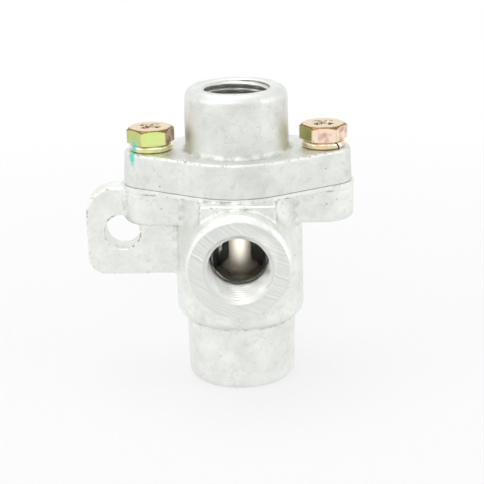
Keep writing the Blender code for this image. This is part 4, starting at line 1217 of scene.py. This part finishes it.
def film_numbers(mesh, centre_x, turn_deg, by_side, top):
    """Gives each screw face its film number by facing, with painted shade and highlight in the recess."""
    normals = face_values(mesh, "normal")
    facing = np.degrees(np.arctan2(normals[:, 1], normals[:, 0])) - turn_deg
    sector = np.round((facing - 30) / 60).astype(int) % 6
    off = np.abs(facing % 60 - 30)
    film = np.where(off > FLAT_SPAN_DEG, EDGE_FILM, np.array(by_side)[sector])
    film = np.where(normals[:, 2] > CONE_TILT, CONE_FILM, film)
    film = np.where(normals[:, 2] > TOP_TILT, top, film)
    centres = (face_values(mesh, "center") - np.array(AXIS)) / MM
    near_axis = np.hypot(centres[:, 0] - centre_x, centres[:, 1]) < RECESS_REACH
    # Painted shade: the recess gets a dark brown film. Painted highlight: its back wall turns white.
    sunk = near_axis & (centres[:, 2] < HEAD_TOP - 0.1)
    back_wall = sunk & (normals[:, 1] < -0.5) & (centres[:, 1] > 0.3)
    mark_faces(mesh, "film", np.where(sunk, RECESS_SHADE_FILM, film))
    mark_faces(mesh, "painted_highlight", RECESS_PAINTED_HIGHLIGHT * back_wall)


print("films: edges %.2f, cone %.2f, recess %.2f" % (EDGE_FILM, CONE_FILM, RECESS_SHADE_FILM))

# %% [markdown]
# The flats of each head are numbered anticlockwise from the one 30 degrees past its first
# corner. On the left screw the front flat is lime, between an olive one and a brown one. On the
# right screw it is pink, beside a pale olive one.

# %% Both screws
LEFT_SIDES, LEFT_TOP = [0.62, 0.5, 0.3, 0.2, 0.42, 0.9], 0.64
RIGHT_SIDES, RIGHT_TOP = [0.6, 0.5, 0.35, 0.02, 0.8, 0.84], 0.62
REACH = HEAD_FLATS / 2 / math.cos(math.radians(30)) + 0.3
SCREWS = [("left", -SCREW_X, LEFT_TURN_DEG, LEFT_SIDES, LEFT_TOP),
          ("right", SCREW_X, RIGHT_TURN_DEG, RIGHT_SIDES, RIGHT_TOP)]
screws = {}
for side, centre_x, turn_deg, sides, top in SCREWS:
    points, quads = surface_of(screw_head(turn_deg), (-REACH, -REACH, HEAD_LOW - 0.3),
                               (REACH, REACH, HEAD_TOP + 0.3), HEAD_CELL)
    screw = mesh_object("screw_" + side, points, quads, [zinc], (centre_x, 0))
    shank_points, shank_faces = skin(shank_rings())
    shank = mesh_object("shank_" + side, shank_points, shank_faces, [zinc], (centre_x, 0))
    weld = screw.modifiers.new("shank", "BOOLEAN")
    weld.operation = "UNION"
    weld.solver = "MANIFOLD"
    weld.object = shank
    bpy.context.view_layer.update()
    whole = screw.evaluated_get(bpy.context.evaluated_depsgraph_get())
    screw.data = bpy.data.meshes.new_from_object(whole)
    screw.modifiers.clear()
    bpy.data.objects.remove(shank)
    film_numbers(screw.data, centre_x, turn_deg, sides, top)
    screws[side] = smooth(screw, 40)
    print("screw_%s: %d faces" % (side, len(screw.data.polygons)))

# %% [markdown]
# ## Spring washers
# A spring washer is square wire coiled once and cut through at a slant. Its section, with
# worn corners, is swept round from one slanting end to the other. A white highlight is painted
# along the upper corner, stronger in some places than in others, near one tip and on both
# slanting ends.

# %% Washers
WASHER_OUTER, WASHER_INNER = 5.2, 3.3
WASHER_EDGE_ROUND = 0.62
WASHER_SPLIT, SPLIT_LEAN_DEG, TIP_ROWS = 0.5, -32, 4
WASHER_SEAT_GAP = 0.03
CORNER_STEPS, WASHER_STEPS = 6, 120
HIGHLIGHT_MIDDLE, HIGHLIGHT_SWING, HIGHLIGHT_LEAST, HIGHLIGHT_PATCHES, HIGHLIGHT_TILT = 0.55, 0.75, 0.1, 5, 0.3
LEFT_SPLIT_DEG, RIGHT_SPLIT_DEG = 150, -50
LEFT_FILM, RIGHT_FILM = 0.5, 0.62
washer_low = COVER_PLATE_TOP + WASHER_SEAT_GAP
washer_high = HEAD_LOW - WASHER_SEAT_GAP


def rounded_section(low, high, radius):
    """A rectangle with round corners, anticlockwise from its lower right corner."""
    middles = [(high[0] - radius, low[1] + radius, -90), (high[0] - radius, high[1] - radius, 0),
               (low[0] + radius, high[1] - radius, 90), (low[0] + radius, low[1] + radius, 180)]
    points = []
    for x, y, start in middles:
        for i in range(CORNER_STEPS + 1):
            turn = math.radians(start + 90 * i / CORNER_STEPS)
            points.append((x + radius * math.cos(turn), y + radius * math.sin(turn)))
    return points


def washer_rings(split_deg):
    """Rings of the washer's section from one slanting end to the other."""
    section = np.array(rounded_section((WASHER_INNER, washer_low), (WASHER_OUTER, washer_high),
                                       WASHER_EDGE_ROUND))
    radius, z = section.T
    lean = (z - (washer_low + washer_high) / 2) * math.tan(math.radians(SPLIT_LEAN_DEG))
    start = np.arcsin((lean + WASHER_SPLIT / 2) / radius)
    end = 2 * math.pi + np.arcsin((lean - WASHER_SPLIT / 2) / radius)
    rings = []
    for share in np.linspace(0, 1, WASHER_STEPS):
        angle = start + (end - start) * share + math.radians(split_deg)
        rings.append(np.stack([radius * np.cos(angle), radius * np.sin(angle), z], 1))
    return rings


washers = {}
for side, centre_x, split_deg, film in (("left", -SCREW_X, LEFT_SPLIT_DEG, LEFT_FILM),
                                        ("right", SCREW_X, RIGHT_SPLIT_DEG, RIGHT_FILM)):
    points, faces = skin(washer_rings(split_deg))
    outward = [face[::-1] for face in faces]
    washer = mesh_object("washer_" + side, points, outward, [zinc], (centre_x, 0))
    normals = face_values(washer.data, "normal")
    around = np.arctan2(normals[:, 1], normals[:, 0])
    # Painted highlight: white on the upper rounded corner in patches, and at the tips.
    highlight_strength = np.clip(HIGHLIGHT_MIDDLE + HIGHLIGHT_SWING * np.sin(HIGHLIGHT_PATCHES * around + 1), HIGHLIGHT_LEAST, 1)
    painted_highlight = (normals[:, 2] > HIGHLIGHT_TILT) * highlight_strength
    painted_highlight[:TIP_ROWS * 4 * (CORNER_STEPS + 1)] = 1
    painted_highlight[-2:] = 1
    mark_faces(washer.data, "film", np.full(len(normals), film))
    mark_faces(washer.data, "painted_highlight", painted_highlight)
    washers[side] = smooth(washer, 40)
    print("washer_%s: %d faces" % (side, len(washer.data.polygons)))

# %% [markdown]
# ## The shuttle and its guide
# The shuttle is a bobbin turned from bar. Its waist shows through the delivery port as a
# bright upright that flares to a small collar at its foot. Rubber pads sit in its ends, and a
# cage of drawn steel keeps it on the axis.

# %% Shuttle
WAIST_RADIUS, DISC_THICKNESS, SWEEP_STEPS = 2.7, 3.8, 24
COLLAR_RADIUS, COLLAR_HEIGHT, FLARE_RADIUS, FLARE_TURN_DEG = 4.4, 3.0, 3.5, 59
NECK_RADIUS, NECK_HEIGHT, COLLAR_ROUND = 2.5, 1.9, 0.5
SHUTTLE_RADIUS, EDGE_CUT = SHUTTLE_HIGH[0], 0.3
PAD_BOX = {node: extent(node) for node in ("lower_pad", "upper_pad")}
PAD_RADIUS = PAD_BOX["lower_pad"][1][0]
NEARLY_ON_AXIS = 0.01
low, high = SHUTTLE_LOW[2], SHUTTLE_HIGH[2]
flare_axis = WAIST_RADIUS + FLARE_RADIUS
rise = COLLAR_HEIGHT + FLARE_RADIUS * math.sin(math.radians(FLARE_TURN_DEG))
under, over = high - DISC_THICKNESS, low + DISC_THICKNESS
pocket = PAD_RADIUS + REST_GAP
floor_level = PAD_BOX["lower_pad"][1][2] + REST_GAP
ceiling = PAD_BOX["upper_pad"][0][2] - REST_GAP


def arc(centre, radius, start_deg, end_deg, steps):
    turns = np.radians(np.linspace(start_deg, end_deg, steps + 1))
    return [(centre[0] + radius * math.cos(t), centre[1] + radius * math.sin(t)) for t in turns]


profile = [(NEARLY_ON_AXIS, floor_level), (pocket, floor_level), (pocket, low),
           (SHUTTLE_RADIUS - EDGE_CUT, low), (SHUTTLE_RADIUS, low + EDGE_CUT),
           (SHUTTLE_RADIUS, over - EDGE_CUT), (SHUTTLE_RADIUS - EDGE_CUT, over)]
collar = [(NECK_RADIUS, 0), (NECK_RADIUS, NECK_HEIGHT), (COLLAR_RADIUS - COLLAR_ROUND, NECK_HEIGHT),
          (COLLAR_RADIUS, NECK_HEIGHT + COLLAR_ROUND), (COLLAR_RADIUS, COLLAR_HEIGHT)]
profile += [(radius, over + height) for radius, height in collar]
profile += arc((flare_axis, over + rise), FLARE_RADIUS, 180 + FLARE_TURN_DEG, 180, SWEEP_STEPS)
profile += arc((flare_axis, under - rise), FLARE_RADIUS, 180, 180 - FLARE_TURN_DEG, SWEEP_STEPS)
profile += [(radius, under - height) for radius, height in collar[::-1]]
profile += [(SHUTTLE_RADIUS - EDGE_CUT, under), (SHUTTLE_RADIUS, under + EDGE_CUT),
            (SHUTTLE_RADIUS, high - EDGE_CUT), (SHUTTLE_RADIUS - EDGE_CUT, high), (pocket, high),
            (pocket, ceiling), (NEARLY_ON_AXIS, ceiling)]
points, faces = skin(turned_rings(profile, 96))
shuttle = smooth(mesh_object("shuttle_bobbin", points, faces, [turned]))
print("shuttle %.1f to %.1f mm" % (low, high))

# %% [markdown]
# The pads are discs with worn edges. The sealing ring is a cord swept round its groove. The
# guide is a tube with windows, and a distance function gives it soft stamped edges.

# %% Pads, sealing ring and guide
pads = {}
for node, (low, high) in PAD_BOX.items():
    edge = [(PAD_RADIUS - EDGE_CUT, low[2]), (PAD_RADIUS, low[2] + EDGE_CUT),
            (PAD_RADIUS, high[2] - EDGE_CUT), (PAD_RADIUS - EDGE_CUT, high[2])]
    points, faces = skin(turned_rings(edge, 72))
    pads[node] = smooth(mesh_object(node + "_rubber", points, faces, [rubber]))

cord = (SEAL_HIGH[2] - SEAL_LOW[2]) / 2
ring_radius = SEAL_HIGH[0] - cord
section = arc((ring_radius, SEAL_LOW[2] + cord), cord, 0, 360, 20)[:-1]
points, faces = skin(turned_rings(section, 96), closed_ends=True)
seal = smooth(mesh_object("sealing_ring", points, faces, [rubber]))

GUIDE_WALL, GUIDE_RING_HEIGHT, GUIDE_LEG_WIDTH = 1.6, 2.5, 4.2
GUIDE_EDGE_ROUND, WINDOW_CORNER, GUIDE_CELL = 0.3, 1.0, 0.42
guide_outer = GUIDE_HIGH[0]


def guide_cage(x, y, z):
    """Distance to the cage: a tube with two whole rings and four legs between them."""
    around = np.hypot(x, y)
    middle, half_height = (GUIDE_LOW[2] + GUIDE_HIGH[2]) / 2, (GUIDE_HIGH[2] - GUIDE_LOW[2]) / 2
    tube = common(np.abs(around - guide_outer + GUIDE_WALL / 2) - GUIDE_WALL / 2,
                  np.abs(z - middle) - half_height, GUIDE_EDGE_ROUND)
    a, b = (x + y) / math.sqrt(2), (x - y) / math.sqrt(2)
    legs = np.minimum(np.abs(a), np.abs(b)) - GUIDE_LEG_WIDTH / 2
    rings = np.maximum(GUIDE_LOW[2] + GUIDE_RING_HEIGHT - z, z - GUIDE_HIGH[2] + GUIDE_RING_HEIGHT)
    return common(tube, joined(legs, -rings, WINDOW_CORNER), GUIDE_EDGE_ROUND)


points, quads = surface_of(guide_cage, (-guide_outer - 1, -guide_outer - 1, GUIDE_LOW[2] - 1),
                           (guide_outer + 1, guide_outer + 1, GUIDE_HIGH[2] + 1), GUIDE_CELL)
guide = smooth(mesh_object("guide_cage", points, quads, [steel]))
print("guide: %d quads" % len(quads))

# %% [markdown]
# ## Putting the pieces on their bodies
# Everything but the shuttle and its pads belongs to the housing. Each piece names the node that
# it stands for, its body and a slot of the record; the slot is listed but not read here.

# %% Riding and replacing
for casting in (body, cover):
    smooth(casting)
PLACED = [
    (body, "body", "housing", "cast_aluminium"),
    (cover, "cover", "housing", "cast_aluminium"),
    (seal, "cover_o_ring", "housing", "rubber"),
    (guide, "shuttle_guide", "housing", "drawn_steel"),
    (shuttle, "shuttle", "shuttle_unit", "machined_aluminium"),
    (pads["lower_pad"], "lower_pad", "shuttle_unit", "rubber"),
    (pads["upper_pad"], "upper_pad", "shuttle_unit", "rubber"),
    (screws["left"], "cap_screw_left", "housing", "yellow_zinc"),
    (screws["right"], "cap_screw_right", "housing", "yellow_zinc"),
    (washers["left"], "spring_washer_left", "housing", "yellow_zinc"),
    (washers["right"], "spring_washer_right", "housing", "yellow_zinc"),
]
for piece, node, on_body, slot in PLACED:
    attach(piece, on_body)
    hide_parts(node)
    print("%-18s for %-20s %d faces" % (piece.name, node, len(piece.data.polygons)))

# %% [markdown]
# The finished model has to stay inside the construction's box, so both boxes are written down.

# %% Size of the finished model
low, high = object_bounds()
print("visual box", [round(v / MM, 2) for v in low], [round(v / MM, 2) for v in high])
